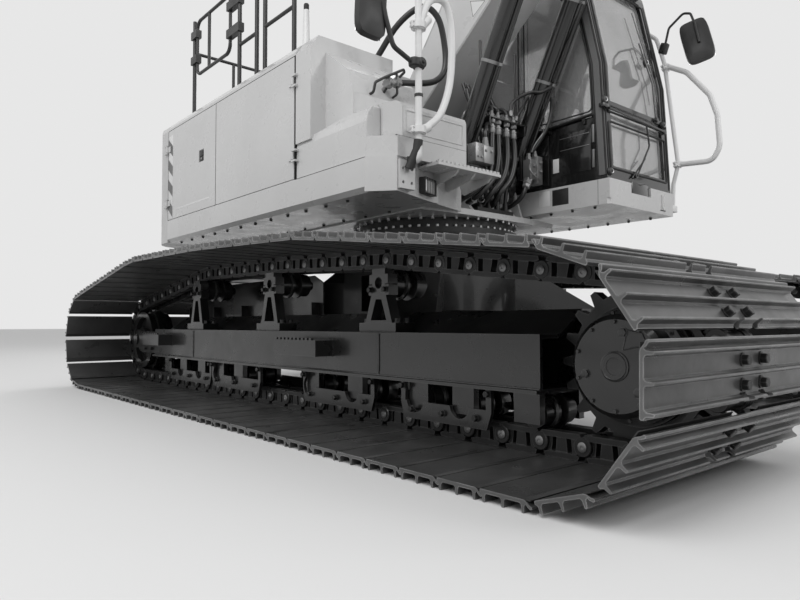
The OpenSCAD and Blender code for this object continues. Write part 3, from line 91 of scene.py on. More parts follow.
scene.view_settings.view_transform = "Standard"

studio = {
    "floorTone": 0.72,
    "skyTone": 0.80,        # what the camera sees behind the machine
    "fill": 0.60,           # light that comes from all round
    "keyPower": 620,
    "sidePower": 230,
}


def makeStudio():
    world = bpy.data.worlds.new("studio")
    scene.world = world
    world.use_nodes = True
    nodes, links = world.node_tree.nodes, world.node_tree.links
    nodes.clear()
    out = nodes.new("ShaderNodeOutputWorld")
    seen, fill = nodes.new("ShaderNodeBackground"), nodes.new("ShaderNodeBackground")
    seen.inputs["Color"].default_value = (studio["skyTone"],) * 3 + (1,)
    fill.inputs["Color"].default_value = (1, 1, 1, 1)
    fill.inputs["Strength"].default_value = studio["fill"]
    mix, path = nodes.new("ShaderNodeMixShader"), nodes.new("ShaderNodeLightPath")
    first, second = nodes.new("ShaderNodeMath"), nodes.new("ShaderNodeMath")
    first.operation = second.operation = "MAXIMUM"
    links.new(path.outputs["Is Camera Ray"], first.inputs[0])
    links.new(path.outputs["Is Glossy Ray"], first.inputs[1])
    links.new(first.outputs[0], second.inputs[0])
    links.new(path.outputs["Is Transmission Ray"], second.inputs[1])
    links.new(second.outputs[0], mix.inputs[0])
    links.new(fill.outputs[0], mix.inputs[1])
    links.new(seen.outputs[0], mix.inputs[2])
    links.new(mix.outputs[0], out.inputs["Surface"])

    shape = bmesh.new()
    bmesh.ops.create_circle(shape, cap_ends=True, segments=64, radius=90)
    mesh = bpy.data.meshes.new("floor")
    shape.to_mesh(mesh)
    shape.free()
    floor = bpy.data.objects.new("floor", mesh)
    scene.collection.objects.link(floor)
    surface = bpy.data.materials.new("floorPaint")
    surface.use_nodes = True
    paint = surface.node_tree.nodes["Principled BSDF"]
    paint.inputs["Base Color"].default_value = (studio["floorTone"],) * 3 + (1,)
    paint.inputs["Roughness"].default_value = 0.85
    mesh.materials.append(surface)

    for name, place, target, size, power in (
            ("keyLight", (3, -7, 9), (0, 0, 1.5), 9, studio["keyPower"]),
            ("sideLight", (9, 3, 6), (1, 0, 1.5), 6, studio["sidePower"]),
            ("backLight", (-7, 6, 7), (-1, 0, 1.5), 7, studio["sidePower"])):
        lamp = bpy.data.lights.new(name, "AREA")
        lamp.shape, lamp.size, lamp.energy = "DISK", size, power
        holder = bpy.data.objects.new(name, lamp)
        scene.collection.objects.link(holder)
        holder.location = spot(*place)
        holder.rotation_euler = (spot(*target) - spot(*place)).to_track_quat("-Z", "Y").to_euler()


makeStudio()
print("stage: camera, floor and light")

finishes = {
    # drift says how much the tone varies; grain is the surface's height in mm and its scale
    "bodyPaint": dict(tone=0.53, rough=0.30, drift=0.05, dust=0.10, grain=(0.05, 55), coat=0.35),
    "weightPaint": dict(tone=0.50, rough=0.42, drift=0.07, dust=0.15, grain=(0.5, 26)),
    "armPaint": dict(tone=0.53, rough=0.33, drift=0.06, dust=0.12, grain=(0.08, 40), coat=0.25,
                     wear=0.35, wearTone=0.22),
    "framePaint": dict(tone=0.0085, rough=0.30, drift=0.4, dust=0.07, wear=0.6, wearTone=0.12,
                       grain=(0.4, 24), coat=0.35),
    "shoeSteel": dict(tone=0.12, rough=0.33, metal=0.62, drift=0.30, dust=0.06, wear=0.85, wearTone=0.46,
                      grain=(0.35, 30)),
    "chainSteel": dict(tone=0.016, rough=0.40, metal=0.30, drift=0.35, dust=0.05, wear=0.7, wearTone=0.16,
                       grain=(0.3, 30)),
    "pinSteel": dict(tone=0.20, rough=0.36, metal=0.8, drift=0.35, wear=0.4, wearTone=0.45, grain=(0.1, 60)),
    "brightSteel": dict(tone=0.42, rough=0.30, metal=0.95, drift=0.15, grain=(0.05, 90)),
    "ringSteel": dict(tone=0.03, rough=0.42, metal=0.4, drift=0.3, dust=0.15, grain=(0.2, 30)),
    "cabPaint": dict(tone=0.008, rough=0.20, drift=0.25, dust=0.03, grain=(0.03, 60), coat=0.6),
    "railPaint": dict(tone=0.02, rough=0.35, drift=0.25, dust=0.05, grain=(0.06, 60),
                      wear=0.35, wearTone=0.12),
    "whitePaint": dict(tone=0.70, rough=0.32, drift=0.06, dust=0.08, grain=(0.06, 50)),
    "rubber": dict(tone=0.016, rough=0.62, drift=0.25, dust=0.12, grain=(0.15, 120)),
    "moulding": dict(tone=0.022, rough=0.48, drift=0.2, grain=(0.12, 220)),
    "cylinderPaint": dict(tone=0.009, rough=0.22, drift=0.25, dust=0.03, grain=(0.05, 50), coat=0.5,
                          wear=0.25, wearTone=0.1),
    "chrome": dict(tone=0.72, rough=0.09, metal=1.0, drift=0.03, grain=(0.01, 200)),
    "bucketSteel": dict(tone=0.13, rough=0.44, metal=0.45, drift=0.35, dust=0.25, wear=0.9, wearTone=0.42,
                        grain=(0.6, 18)),
    "engineIron": dict(tone=0.05, rough=0.6, metal=0.3, drift=0.3, grain=(0.6, 30)),
    "seatCloth": dict(tone=0.035, rough=0.9, drift=0.25, weave=340),
    "labelWhite": dict(tone=0.66, rough=0.45, drift=0.05, grain=(0.02, 90)),
    "labelBlack": dict(tone=0.02, rough=0.4, drift=0.1, grain=(0.02, 90)),
    "stripeRed": dict(tone=0.10, rough=0.35, drift=0.08, grain=(0.03, 300)),
    "hoseCover": dict(tone=0.009, rough=0.34, drift=0.25, dust=0.03, grain=(0.12, 260), coat=0.2),
    "steelGrey": dict(tone=0.26, rough=0.34, metal=0.6, drift=0.15, wear=0.3, wearTone=0.4, grain=(0.08, 60)),
    "mirrorFace": dict(tone=0.85, rough=0.03, metal=1.0, drift=0.01),
    "trimGrey": dict(tone=0.13, rough=0.40, drift=0.10, dust=0.04, grain=(0.05, 90)),
    "screenFace": dict(tone=0.010, rough=0.12, drift=0.10, grain=(0.01, 90)),
}
made = {}


def finish(name):
    # a painted, worn or dusty surface; every part of it reads the Object coordinates
    if name in made:
        return made[name]
    look = finishes[name]
    surface = bpy.data.materials.new(name)
    surface.use_nodes = True
    nodes, links = surface.node_tree.nodes, surface.node_tree.links
    paint = nodes["Principled BSDF"]
    paint.inputs["Metallic"].default_value = look.get("metal", 0.0)
    if look.get("coat"):
        paint.inputs["Coat Weight"].default_value = look["coat"]
        paint.inputs["Coat Roughness"].default_value = 0.08
    where = nodes.new("ShaderNodeTexCoord")

    def noise(scale, detail=4.0, stretch=None):
        grain = nodes.new("ShaderNodeTexNoise")
        grain.inputs["Scale"].default_value = scale
        grain.inputs["Detail"].default_value = detail
        if stretch:
            squeeze = nodes.new("ShaderNodeMapping")
            squeeze.inputs["Scale"].default_value = stretch
            links.new(where.outputs["Object"], squeeze.inputs["Vector"])
            links.new(squeeze.outputs[0], grain.inputs["Vector"])
        else:
            links.new(where.outputs["Object"], grain.inputs["Vector"])
        return grain.outputs["Fac"]

    def spread(value, low, high, fromLow=0.3, fromHigh=0.7):
        ramp = nodes.new("ShaderNodeMapRange")
        ramp.inputs["From Min"].default_value = fromLow
        ramp.inputs["From Max"].default_value = fromHigh
        ramp.inputs["To Min"].default_value = low
        ramp.inputs["To Max"].default_value = high
        links.new(value, ramp.inputs["Value"])
        return ramp.outputs[0]

    def times(a, b):
        node = nodes.new("ShaderNodeMath")
        node.operation = "MULTIPLY"
        links.new(a, node.inputs[0])
        if isinstance(b, float):
            node.inputs[1].default_value = b
        else:
            links.new(b, node.inputs[1])
        return node.outputs[0]

    def blendTone(factor, a, b):
        mix = nodes.new("ShaderNodeMix")
        mix.data_type = "RGBA"
        links.new(factor, mix.inputs["Factor"])
        for socket, tone in ((mix.inputs[6], a), (mix.inputs[7], b)):
            if isinstance(tone, float):
                socket.default_value = (tone,) * 3 + (1,)
            else:
                links.new(tone, socket)
        return mix.outputs[2]

    tone, drift = look["tone"], look["drift"]
    patches = noise(1.7, 5.0)
    colour = blendTone(spread(patches, 0.0, 1.0), tone * (1 - drift), tone * (1 + drift))
    fine = noise(38.0, 3.0)
    colour = blendTone(times(spread(fine, 0.0, 1.0, 0.45, 0.75), 0.5), colour, tone * (1 - 0.6 * drift))
    roughness = spread(noise(7.0, 6.0), look["rough"] * 0.75, min(1.0, look["rough"] * 1.35))
    if look.get("weave"):
        wave = nodes.new("ShaderNodeTexWave")
        wave.inputs["Scale"].default_value = look["weave"] / 6.28
        links.new(where.outputs["Object"], wave.inputs["Vector"])
        colour = blendTone(times(wave.outputs["Fac"], 0.5), colour, tone * 1.9)
    if look.get("dust"):
        geometry = nodes.new("ShaderNodeNewGeometry")
        split = nodes.new("ShaderNodeSeparateXYZ")
        links.new(geometry.outputs["Normal"], split.inputs[0])
        settled = times(spread(split.outputs["Z"], 0.0, 1.0, 0.2, 0.95),
                        spread(noise(4.5, 8.0), 0.1, 1.0, 0.35, 0.65))
        colour = blendTone(times(settled, float(look["dust"])), colour, 0.42)
    if look.get("wear"):
        rim, geometry = nodes.new("ShaderNodeBevel"), nodes.new("ShaderNodeNewGeometry")
        rim.samples = 3
        rim.inputs["Radius"].default_value = 0.006
        turned = nodes.new("ShaderNodeVectorMath")
        turned.operation = "DOT_PRODUCT"
        links.new(rim.outputs[0], turned.inputs[0])
        links.new(geometry.outputs["Normal"], turned.inputs[1])
        edge = spread(turned.outputs["Value"], 1.0, 0.0, 0.80, 0.985)
        rubbed = times(times(edge, spread(noise(11.0, 6.0), 0.15, 1.0, 0.35, 0.6)), float(look["wear"]))
        colour = blendTone(rubbed, colour, look["wearTone"])
    links.new(colour, paint.inputs["Base Color"])
    links.new(roughness, paint.inputs["Roughness"])
    if look.get("grain"):
        height, scale = look["grain"]
        bump = nodes.new("ShaderNodeBump")
        bump.inputs["Strength"].default_value = 0.6
        bump.inputs["Distance"].default_value = height * 0.001
        links.new(noise(float(scale), 3.0), bump.inputs["Height"])
        links.new(bump.outputs[0], paint.inputs["Normal"])
    made[name] = surface
    return surface


def glassFinish(name, tone, alpha, mirrored=0.0):
    surface = bpy.data.materials.new(name)
    surface.use_nodes = True
    nodes, links = surface.node_tree.nodes, surface.node_tree.links
    paint = nodes["Principled BSDF"]
    paint.inputs["Roughness"].default_value = 0.03
    paint.inputs["Metallic"].default_value = mirrored
    paint.inputs["Alpha"].default_value = alpha
    where, film = nodes.new("ShaderNodeTexCoord"), nodes.new("ShaderNodeTexNoise")
    ramp = nodes.new("ShaderNodeMapRange")
    film.inputs["Scale"].default_value = 2.2
    links.new(where.outputs["Object"], film.inputs["Vector"])
    links.new(film.outputs["Fac"], ramp.inputs["Value"])
    ramp.inputs["To Min"].default_value, ramp.inputs["To Max"].default_value = tone * 0.85, tone * 1.15
    links.new(ramp.outputs[0], paint.inputs["Base Color"])
    made[name] = surface
    return surface


glassFinish("cabGlass", 0.80, 0.42, 0.55)
glassFinish("lampGlass", 0.75, 0.45)

nodeFinish = {
    "framePaint": ["car_body", "track_frame_right", "track_frame_left", "final_drive_right",
                   "final_drive_left",
                   "rollers_right", "rollers_left", "roller_guards_right", "roller_guards_left",
                   "carrier_stands_right", "carrier_stands_left", "idler_right", "idler_left"],
    "chainSteel": ["track_right", "track_left", "sprocket_right", "sprocket_left"],
    "ringSteel": ["slew_ring_lower", "slew_ring_upper", "valve_bank"],
    "bodyPaint": ["main_frame", "deck_skirts", "cover_panels", "front_tank", "side_door_rear",
                  "side_door_front",
                  "side_door_left", "engine_hood", "tank_lid"],
    "weightPaint": ["counterweight"],
    "armPaint": ["boom", "dipper", "rocker", "link"],
    "engineIron": ["engine_block"],
    "cabPaint": ["cab_shell", "cab_door"],
    "railPaint": ["rear_rails", "mirrors"],
    "whitePaint": ["front_rails"],
    "moulding": ["console"],
    "seatCloth": ["seat"],
    "cylinderPaint": ["boom_ram_tubes", "dipper_ram_tube", "bucket_ram_tube"],
    "chrome": ["boom_ram_rods", "dipper_ram_rod", "bucket_ram_rod"],
    "bucketSteel": ["bucket"],
    "steelGrey": ["work_lamps"],
    "cabGlass": ["cab_glass"],
}
for name, nodes in nodeFinish.items():
    for node in nodes:
        for holder in frame["nodes"][node].material_slots:
            holder.material = finish(name)
print("stage: finishes on the frame's nodes")


def absorb(shape, part):
    # add the faces of part to shape
    mesh = bpy.data.meshes.new("part")
    part.to_mesh(mesh)
    part.free()
    shape.from_mesh(mesh)
    bpy.data.meshes.remove(mesh)


def soften(part, width, steps=2):
    if width > 0:
        edges = [edge for edge in part.edges if edge.is_manifold and edge.calc_face_angle(0) > 0.5]
        bmesh.ops.bevel(part, geom=edges, offset=width, segments=steps, profile=0.5, affect="EDGES",
                        clamp_overlap=True)


def addBox(shape, size, place, turn, edge, steps=2):
    # a box turned about its own middle, which stands at place
    part = bmesh.new()
    bmesh.ops.create_cube(part, size=1.0)
    bmesh.ops.scale(part, vec=size, verts=part.verts)
    soften(part, edge, steps)
    if turn:
        bmesh.ops.rotate(part, matrix=turn, verts=part.verts)
    bmesh.ops.translate(part, vec=place, verts=part.verts)
    absorb(shape, part)


def addBlock(shape, low, high, edge=0.0, turned=None, steps=2):
    low, high = Vector(low), Vector(high)
    addBox(shape, high - low, (low + high) / 2, turned, edge, steps)


def addPlate(shape, outline, y0, y1, edge=0.0, steps=1):
    # a side outline (x, z) made solid from y0 to y1
    part = bmesh.new()
    face = part.faces.new([part.verts.new((x, y0, z)) for x, z in outline])
    pushed = bmesh.ops.extrude_face_region(part, geom=[face])
    bmesh.ops.translate(part, vec=(0, y1 - y0, 0),
                        verts=[v for v in pushed["geom"] if isinstance(v, bmesh.types.BMVert)])
    bmesh.ops.recalc_face_normals(part, faces=part.faces)
    soften(part, edge, steps)
    absorb(shape, part)


def addTurned(shape, profile, start, axis, sides=28, hollow=False):
    # a profile of (radius, height) pairs turned round an axis; a hollow one is closed on its inside
    part = bmesh.new()
    rings = []
    for radius, height in profile:
        if radius < 1e-6:
            rings.append([part.verts.new((0, 0, height))])
        else:
            rings.append([part.verts.new((radius * math.cos(2 * math.pi * k / sides),
                                          radius * math.sin(2 * math.pi * k / sides), height))
                          for k in range(sides)])
    for one, two in zip(rings, rings[1:] + (rings[:1] if hollow else [])):
        for k in range(sides):
            m = (k + 1) % sides
            if len(one) == 1 and len(two) == 1:
                continue
            if len(one) == 1:
                part.faces.new((one[0], two[k], two[m]))
            elif len(two) == 1:
                part.faces.new((one[k], two[0], one[m]))
            else:
                part.faces.new((one[k], two[k], two[m], one[m]))
    for ring in () if hollow else (rings[0], rings[-1]):
        if len(ring) > 1:
            part.faces.new(ring)
    bmesh.ops.recalc_face_normals(part, faces=part.faces)
    turn = Vector((0, 0, 1)).rotation_difference(Vector(axis)).to_matrix()
    bmesh.ops.rotate(part, matrix=turn, verts=part.verts)
    bmesh.ops.translate(part, vec=Vector(start), verts=part.verts)
    absorb(shape, part)


def addRod(shape, start, end, radius, sides=20, edge=0.0):
    start, end = Vector(start), Vector(end)
    length = (end - start).length
    edge = min(edge, radius * 0.5, length * 0.4)
    profile = [(radius, 0), (radius, length)] if not edge else [
        (radius - edge, 0), (radius, edge), (radius, length - edge), (radius - edge, length)]
    addTurned(shape, profile, start, end - start, sides)


def addNut(shape, place, axis, radius, height):
    # hexagon head on its washer
    axis = Vector(axis).normalized()
    addTurned(shape, [(radius * 1.25, 0), (radius * 1.25, height * 0.18)], place, axis, 12)
    addTurned(shape, [(radius, 0), (radius, height * 0.88), (radius * 0.85, height)],
              Vector(place) + axis * height * 0.18, axis, 6)


def roundedPath(points, bend, steps=5):
    # the points with each corner turned into an arc
    points = [Vector(p) for p in points]
    path = [points[0]]
    for a, b, c in zip(points, points[1:], points[2:]):
        into, away = (a - b), (c - b)
        angle = into.angle(away)
        reach = min(bend / max(math.tan(angle / 2), 0.05), into.length * 0.48, away.length * 0.48)
        first, last = b + into.normalized() * reach, b + away.normalized() * reach
        for k in range(steps + 1):
            t = k / steps
            path.append(first * (1 - t) ** 2 + b * 2 * t * (1 - t) + last * t ** 2)
    path.append(points[-1])
    return path


def smoothPath(points, steps=6):
    # a curve through all points
    points = [Vector(p) for p in points]
    ends = [2 * points[0] - points[1]] + points + [2 * points[-1] - points[-2]]
    path = []
    for a, b, c, d in zip(ends, ends[1:], ends[2:], ends[3:]):
        for k in range(steps):
            t = k / steps
            path.append(0.5 * (2 * b + (c - a) * t + (2 * a - 5 * b + 4 * c - d) * t ** 2
                               + (3 * b - a - 3 * c + d) * t ** 3))
    path.append(points[-1])
    return path


def addPipe(shape, points, radius, bend=0.05, sides=12, steps=5):
    path = roundedPath(points, bend, steps) if bend else [Vector(p) for p in points]
    part = bmesh.new()
    heading = (path[1] - path[0]).normalized()
    side = heading.orthogonal().normalized()
    rings = []
    for k, point in enumerate(path):
        ahead = (path[min(k + 1, len(path) - 1)] - path[max(k - 1, 0)]).normalized()
        side = (heading.rotation_difference(ahead) @ side).normalized()
        heading = ahead
        other = heading.cross(side)
        rings.append([part.verts.new(point
                                     + radius * (math.cos(2 * math.pi * m / sides) * side
                                                 + math.sin(2 * math.pi * m / sides) * other))
                      for m in range(sides)])
    for one, two in zip(rings, rings[1:]):
        for k in range(sides):
            m = (k + 1) % sides
            part.faces.new((one[k], one[m], two[m], two[k]))
    part.faces.new(rings[0][::-1])
    part.faces.new(rings[-1])
    bmesh.ops.recalc_face_normals(part, faces=part.faces)
    absorb(shape, part)


def addHose(shape, points, radius, sides=12):
    # a hose or bent tube through all points
    addPipe(shape, smoothPath(points), radius, 0, sides)


def toMesh(shape, name, smoothAngle=0.6):
    for face in shape.faces:
        face.smooth = True
    for edge in shape.edges:
        edge.smooth = edge.calc_face_angle(3.0) < smoothAngle
    mesh = bpy.data.meshes.new(name)
    shape.to_mesh(mesh)
    shape.free()
    return mesh


def ridePiece(name, mesh, body, look, replaced=()):
    piece = bpy.data.objects.new(name, mesh)
    scene.collection.objects.link(piece)
    mesh.materials.clear()
    mesh.materials.append(finish(look) if look in finishes else made[look])
    if isinstance(body, dict):
        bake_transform(piece)
    else:
        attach(piece, body)
    if replaced:
        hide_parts(*replaced)
    return piece


def makePiece(name, shape, body, look, replaced=(), smoothAngle=0.6):
    # shapes are drawn from the slew axis, and end in the frame's own place
    bmesh.ops.translate(shape, vec=(slewX, 0, 0), verts=shape.verts)
    return ridePiece(name, toMesh(shape, name, smoothAngle), body, look, replaced)


def startTree(name, inputs):
    # a tree that ends in Realize Instances and Set Material; inputs are its named sizes
    tree = bpy.data.node_groups.new(name, "GeometryNodeTree")
    tree.interface.new_socket("Geometry", in_out="INPUT", socket_type="NodeSocketGeometry")
    sockets = {}
    for title, kind in inputs + [("Piece", "NodeSocketObject"), ("Finish", "NodeSocketMaterial")]:
        sockets[title] = tree.interface.new_socket(title, in_out="INPUT", socket_type=kind).identifier
    tree.interface.new_socket("Geometry", in_out="OUTPUT", socket_type="NodeSocketGeometry")
    nodes, links = tree.nodes, tree.links
    given, result = nodes.new("NodeGroupInput"), nodes.new("NodeGroupOutput")
    piece, copies = nodes.new("GeometryNodeObjectInfo"), nodes.new("GeometryNodeInstanceOnPoints")
    real, painted = nodes.new("GeometryNodeRealizeInstances"), nodes.new("GeometryNodeSetMaterial")
    links.new(given.outputs["Piece"], piece.inputs["Object"])
    links.new(piece.outputs["Geometry"], copies.inputs["Instance"])
    links.new(copies.outputs[0], real.inputs[0])
    links.new(real.outputs[0], painted.inputs[0])
    links.new(given.outputs["Finish"], painted.inputs["Material"])
    links.new(painted.outputs[0], result.inputs[0])
    return tree, sockets, given, copies


def makeSpotTree():
    # copies at the carrier's points, each turned by the point's "turn"
    tree, sockets, given, copies = startTree("copiesAtSpots", [("Size", "NodeSocketFloat")])
    turn = tree.nodes.new("GeometryNodeInputNamedAttribute")
    euler = tree.nodes.new("FunctionNodeEulerToRotation")
    turn.data_type = "FLOAT_VECTOR"
    turn.inputs["Name"].default_value = "turn"
    tree.links.new(given.outputs["Geometry"], copies.inputs["Points"])
    tree.links.new(turn.outputs["Attribute"], euler.inputs[0])
    tree.links.new(euler.outputs[0], copies.inputs["Rotation"])
    tree.links.new(given.outputs["Size"], copies.inputs["Scale"])
    return tree, sockets


def makeRingTree():
    # copies on a circle, all pointing up
    tree, sockets, given, copies = startTree("copiesOnRing",
                                             [("Count", "NodeSocketInt"), ("Radius", "NodeSocketFloat")])
    ring = tree.nodes.new("GeometryNodeMeshCircle")
    tree.links.new(given.outputs["Count"], ring.inputs["Vertices"])
    tree.links.new(given.outputs["Radius"], ring.inputs["Radius"])
    tree.links.new(ring.outputs[0], copies.inputs["Points"])
    return tree, sockets


def makeRowTree():
    # copies in a straight row
    tree, sockets, given, copies = startTree("copiesInRow",
                                             [("Count", "NodeSocketInt"), ("Start", "NodeSocketVector"),
                                              ("Step", "NodeSocketVector")])
    row = tree.nodes.new("GeometryNodeMeshLine")
    tree.links.new(given.outputs["Count"], row.inputs["Count"])
    tree.links.new(given.outputs["Start"], row.inputs["Start Location"])
    tree.links.new(given.outputs["Step"], row.inputs["Offset"])
    tree.links.new(row.outputs[0], copies.inputs["Points"])
    return tree, sockets


spotTree, ringTree, rowTree = makeSpotTree(), makeRingTree(), makeRowTree()
patterns = []


def unitOf(shape, name):
    # one copy of what repeats; it is taken away at the end
    unit = bpy.data.objects.new(name, toMesh(shape, name))
    scene.collection.objects.link(unit)
    patterns.append(unit)
    return unit


def repeat(name, treeAndSockets, carrierMesh, values, unit, body, look, placed=None, replaced=()):
    # run a tree on a carrier, and keep the result as one plain mesh
    tree, sockets = treeAndSockets
    carrier = bpy.data.objects.new(name + "Carrier", carrierMesh)
    scene.collection.objects.link(carrier)
    step = carrier.modifiers.new("copies", "NODES")
    step.node_group = tree
    for title, value in dict(values, Piece=unit, Finish=finish(look)).items():
        step[sockets[title]] = value
    bpy.context.view_layer.update()
    graph = bpy.context.evaluated_depsgraph_get()
    mesh = bpy.data.meshes.new_from_object(carrier.evaluated_get(graph), depsgraph=graph)
    mesh.name = name
    bpy.data.objects.remove(carrier)
    if placed:
        mesh.transform(placed)
    return ridePiece(name, mesh, body, look, replaced)


def repeatInRow(name, unit, count, step, place, body, look, hanging=False):
    # copies in a straight row from place on; hanging ones point down
    placed = toWorld @ Matrix.Translation(place)
    if hanging:
        placed = placed @ Matrix.Scale(-1, 4, (0, 0, 1))
    values = {"Count": count, "Start": (0.0, 0.0, 0.0), "Step": step}
    row = repeat(name, rowTree, emptyMesh(), values, unit, body, look, placed=placed)
    if hanging:
        row.data.flip_normals()


def pointMesh(spots):
    # points with a turn each; spots are (place, Euler) pairs
    mesh = bpy.data.meshes.new("spots")
    mesh.from_pydata([tuple(place) for place, turn in spots], [], [])
    turns = mesh.attributes.new("turn", "FLOAT_VECTOR", "POINT")
    turns.data.foreach_set("vector", [value for place, turn in spots for value in turn])
    return mesh


def emptyMesh():
    return bpy.data.meshes.new("carrier")


def facing(axis):
    return tuple(Vector((0, 0, 1)).rotation_difference(Vector(axis)).to_euler())


track = {
    "pitch": 0.190, "width": 1.300,
    "middle": 1.35,
    "pinHeight": 0.095,
    "sprocket": 2.485, "teeth": 10,
    "idler": -2.355, "idlerRadius": 0.315,
    "carriers": [(1.185, 0.866), (0.100, 0.912), (-1.000, 0.925)],
    "plateOut": 0.067, "plateThick": 0.012, "grouser": 0.028,
    "railIn": 0.045,
}


def chainPins():
    # pins of the chain: out round the sprocket, over the carrier rollers, round the idler and back
    sprocketR = track["pitch"] / 2 / math.sin(math.pi / track["teeth"])
    front = (track["sprocket"], track["pinHeight"] + sprocketR)
    back = (track["idler"], track["pinHeight"] + track["idlerRadius"])

    def arc(centre, radius, first, last):
        return [(centre[0] + radius * math.cos(a), centre[1] + radius * math.sin(a))
                for a in (first + (last - first) * k / 24 for k in range(25))]

    def touch(centre, radius, point, sign):
        dx, dz = point[0] - centre[0], point[1] - centre[1]
        return math.atan2(dz, dx) + sign * math.acos(radius / math.hypot(dx, dz))

    overFirst = touch(front, sprocketR, track["carriers"][0], -1)
    overLast = touch(back, track["idlerRadius"], track["carriers"][-1], 1)
    line = arc(front, sprocketR, -math.pi / 2, overFirst) + list(track["carriers"])
    line += arc(back, track["idlerRadius"], overLast, 1.5 * math.pi)
    line.append(line[0])
    reach = [0]
    for a, b in zip(line, line[1:]):
        reach.append(reach[-1] + math.dist(a, b))
    count = round(reach[-1] / track["pitch"])
    pins, k = [], 0
    for i in range(count):
        s = i * reach[-1] / count
        while reach[k + 1] < s:
            k += 1
        t = (s - reach[k]) / (reach[k + 1] - reach[k])
        pins.append((line[k][0] + (line[k + 1][0] - line[k][0]) * t,
                     line[k][1] + (line[k + 1][1] - line[k][1]) * t))
    return pins


def shoeUnit():
    # one shoe, its chain pin at the origin: x along the chain, -z outwards
    p, out, thick, bar = track["pitch"], track["plateOut"], track["plateThick"], track["grouser"]
    tip, inner = out + bar, out - thick

    def side(lead):
        # n is measured outwards from the pin line
        outline = [(lead + 0.003, inner), (p - 0.016, inner), (p - 0.008, inner + 0.003),
                   (p + 0.004, out + 0.001), (p + 0.013, out + 0.005),
                   (p + 0.015, out + 0.011), (p + 0.008, out + 0.014), (p - 0.003, out + 0.007)]
        for centre in (0.90, 0.50, 0.10):
            x = p * centre
            if x - 0.012 > lead:
                outline += [(x + 0.012, out), (x + 0.006, out + 0.006), (x + 0.0045, tip - 0.003),
                            (x + 0.002, tip),
                            (x - 0.002, tip), (x - 0.0045, tip - 0.003), (x - 0.006, out + 0.006),
                            (x - 0.012, out)]
        outline += [(lead, out - 0.001), (lead, inner + 0.003)]
        return [(x, -n) for x, n in outline]

    shape = bmesh.new()
    half = track["width"] / 2
    for y0, y1, lead in ((-half, -0.092, 0.004), (-0.092, -0.048, 0.034), (-0.048, 0.048, 0.004),
                         (0.048, 0.092, 0.034), (0.092, half, 0.004)):
        addPlate(shape, side(lead), y0, y1)
    return unitOf(shape, "shoeUnit")


def shoeBoltUnit():
    shape = bmesh.new()
    for x in (0.30, 0.70):
        for y in (-0.070, 0.070):
            addNut(shape, (track["pitch"] * x, y, -track["plateOut"]), (0, 0, -1), 0.017, 0.020)
    return unitOf(shape, "shoeBoltUnit")


def shoeSoilUnit():
    # a dark strip in the joint between this shoe and the next, on the inner face: painted shade where the gap
    # between the plates lies in shadow
    inner = track["plateOut"] - track["plateThick"]
    shape = bmesh.new()
    for y0, y1 in ((-track["width"] / 2 + 0.002, -0.100), (0.100, track["width"] / 2 - 0.002)):
        rear, front = track["pitch"] * 0.905, track["pitch"] * 1.040
        addPlate(shape, [(rear, -inner - 0.002), (rear, -inner + 0.0015), (front, -inner + 0.0015),
                         (front, -inner - 0.002)], y0, y1)
    return unitOf(shape, "shoeSoilUnit")


def linkUnit():
    # both links of one pitch, with the bushing: rails inwards (+z), shoe side outwards
    shape = bmesh.new()
    p, rail, seat = track["pitch"], track["railIn"], track["plateOut"] - track["plateThick"]
    for s in (-1, 1):
        def strip(outline, a, b, edge=0.0):
            addPlate(shape, outline, min(s * a, s * b), max(s * a, s * b), edge)
        strip([(-0.006, rail - 0.016), (0.010, rail), (p - 0.012, rail), (p - 0.002, rail - 0.016),
               (p - 0.02, rail - 0.022), (0.012, rail - 0.022)],
              0.046, 0.094)
        strip([(0.022, -seat + 0.001), (p - 0.022, -seat + 0.001), (p - 0.016, -seat + 0.018),
               (p - 0.040, -seat + 0.024), (0.040, -seat + 0.024), (0.016, -seat + 0.018)],
              0.050, 0.092)
        strip([(0.020, -0.030), (0.044, -0.034), (0.050, 0.026), (0.010, 0.028)], 0.052, 0.080)
        strip([(p - 0.050, 0.026), (p - 0.044, -0.034), (p - 0.020, -0.030),
               (p - 0.010, 0.028)], 0.060, 0.092)
        strip([(0.068, -0.036), (0.122, -0.036), (0.116, 0.027), (0.074, 0.027)], 0.054, 0.088)
        addRod(shape, (0, s * 0.046, 0), (0, s * 0.069, 0), 0.035, 20)
        addRod(shape, (p, s * 0.071, 0), (p, s * 0.096, 0), 0.037, 20, 0.003)
    addRod(shape, (0, -0.046, 0), (0, 0.046, 0), 0.030, 16)
    return unitOf(shape, "linkUnit")


def pinUnit():
    shape = bmesh.new()
    for s in (-1, 1):
        addTurned(shape, [(0.019, 0), (0.019, 0.0045), (0.0165, 0.0060), (0.0070, 0.0062), (0.0055, 0.0040),
                          (0, 0.0035)], (0, s * 0.095, 0), (0, s, 0), 16)
    return unitOf(shape, "pinUnit")


pins = chainPins()
# the joint strips among these units are painted shade: dark strips laid in the gaps between the shoes
units = {"Shoes": (shoeUnit(), "shoeSteel", "shoe_steel"),
         "ShoeBolts": (shoeBoltUnit(), "chainSteel", "shoe_steel"),
         "ShoeSoil": (shoeSoilUnit(), "rubber", "shoe_steel"),
         "Chain": (linkUnit(), "chainSteel", "shoe_steel"), "Pins": (pinUnit(), "pinSteel", "shoe_steel")}
for side in ("right", "left"):
    low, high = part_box("track_" + side)
    middle = (low[1] + high[1]) / 2
    spots = []
    for here, there in zip(pins, pins[1:] + pins[:1]):
        step = Vector((there[0] - here[0], there[1] - here[1])).normalized()
        spots.append((spot(here[0], middle, here[1]), (0, math.atan2(-step.y, step.x), 0)))
    for part, (unit, look, slot) in units.items():
        repeat(side + part, spotTree, pointMesh(spots), {"Size": 1.0}, unit, "undercarriage", look,
               replaced=("track_" + side,) if part == "Shoes" else ())
print("stage: tracks,", len(pins), "shoes a side")


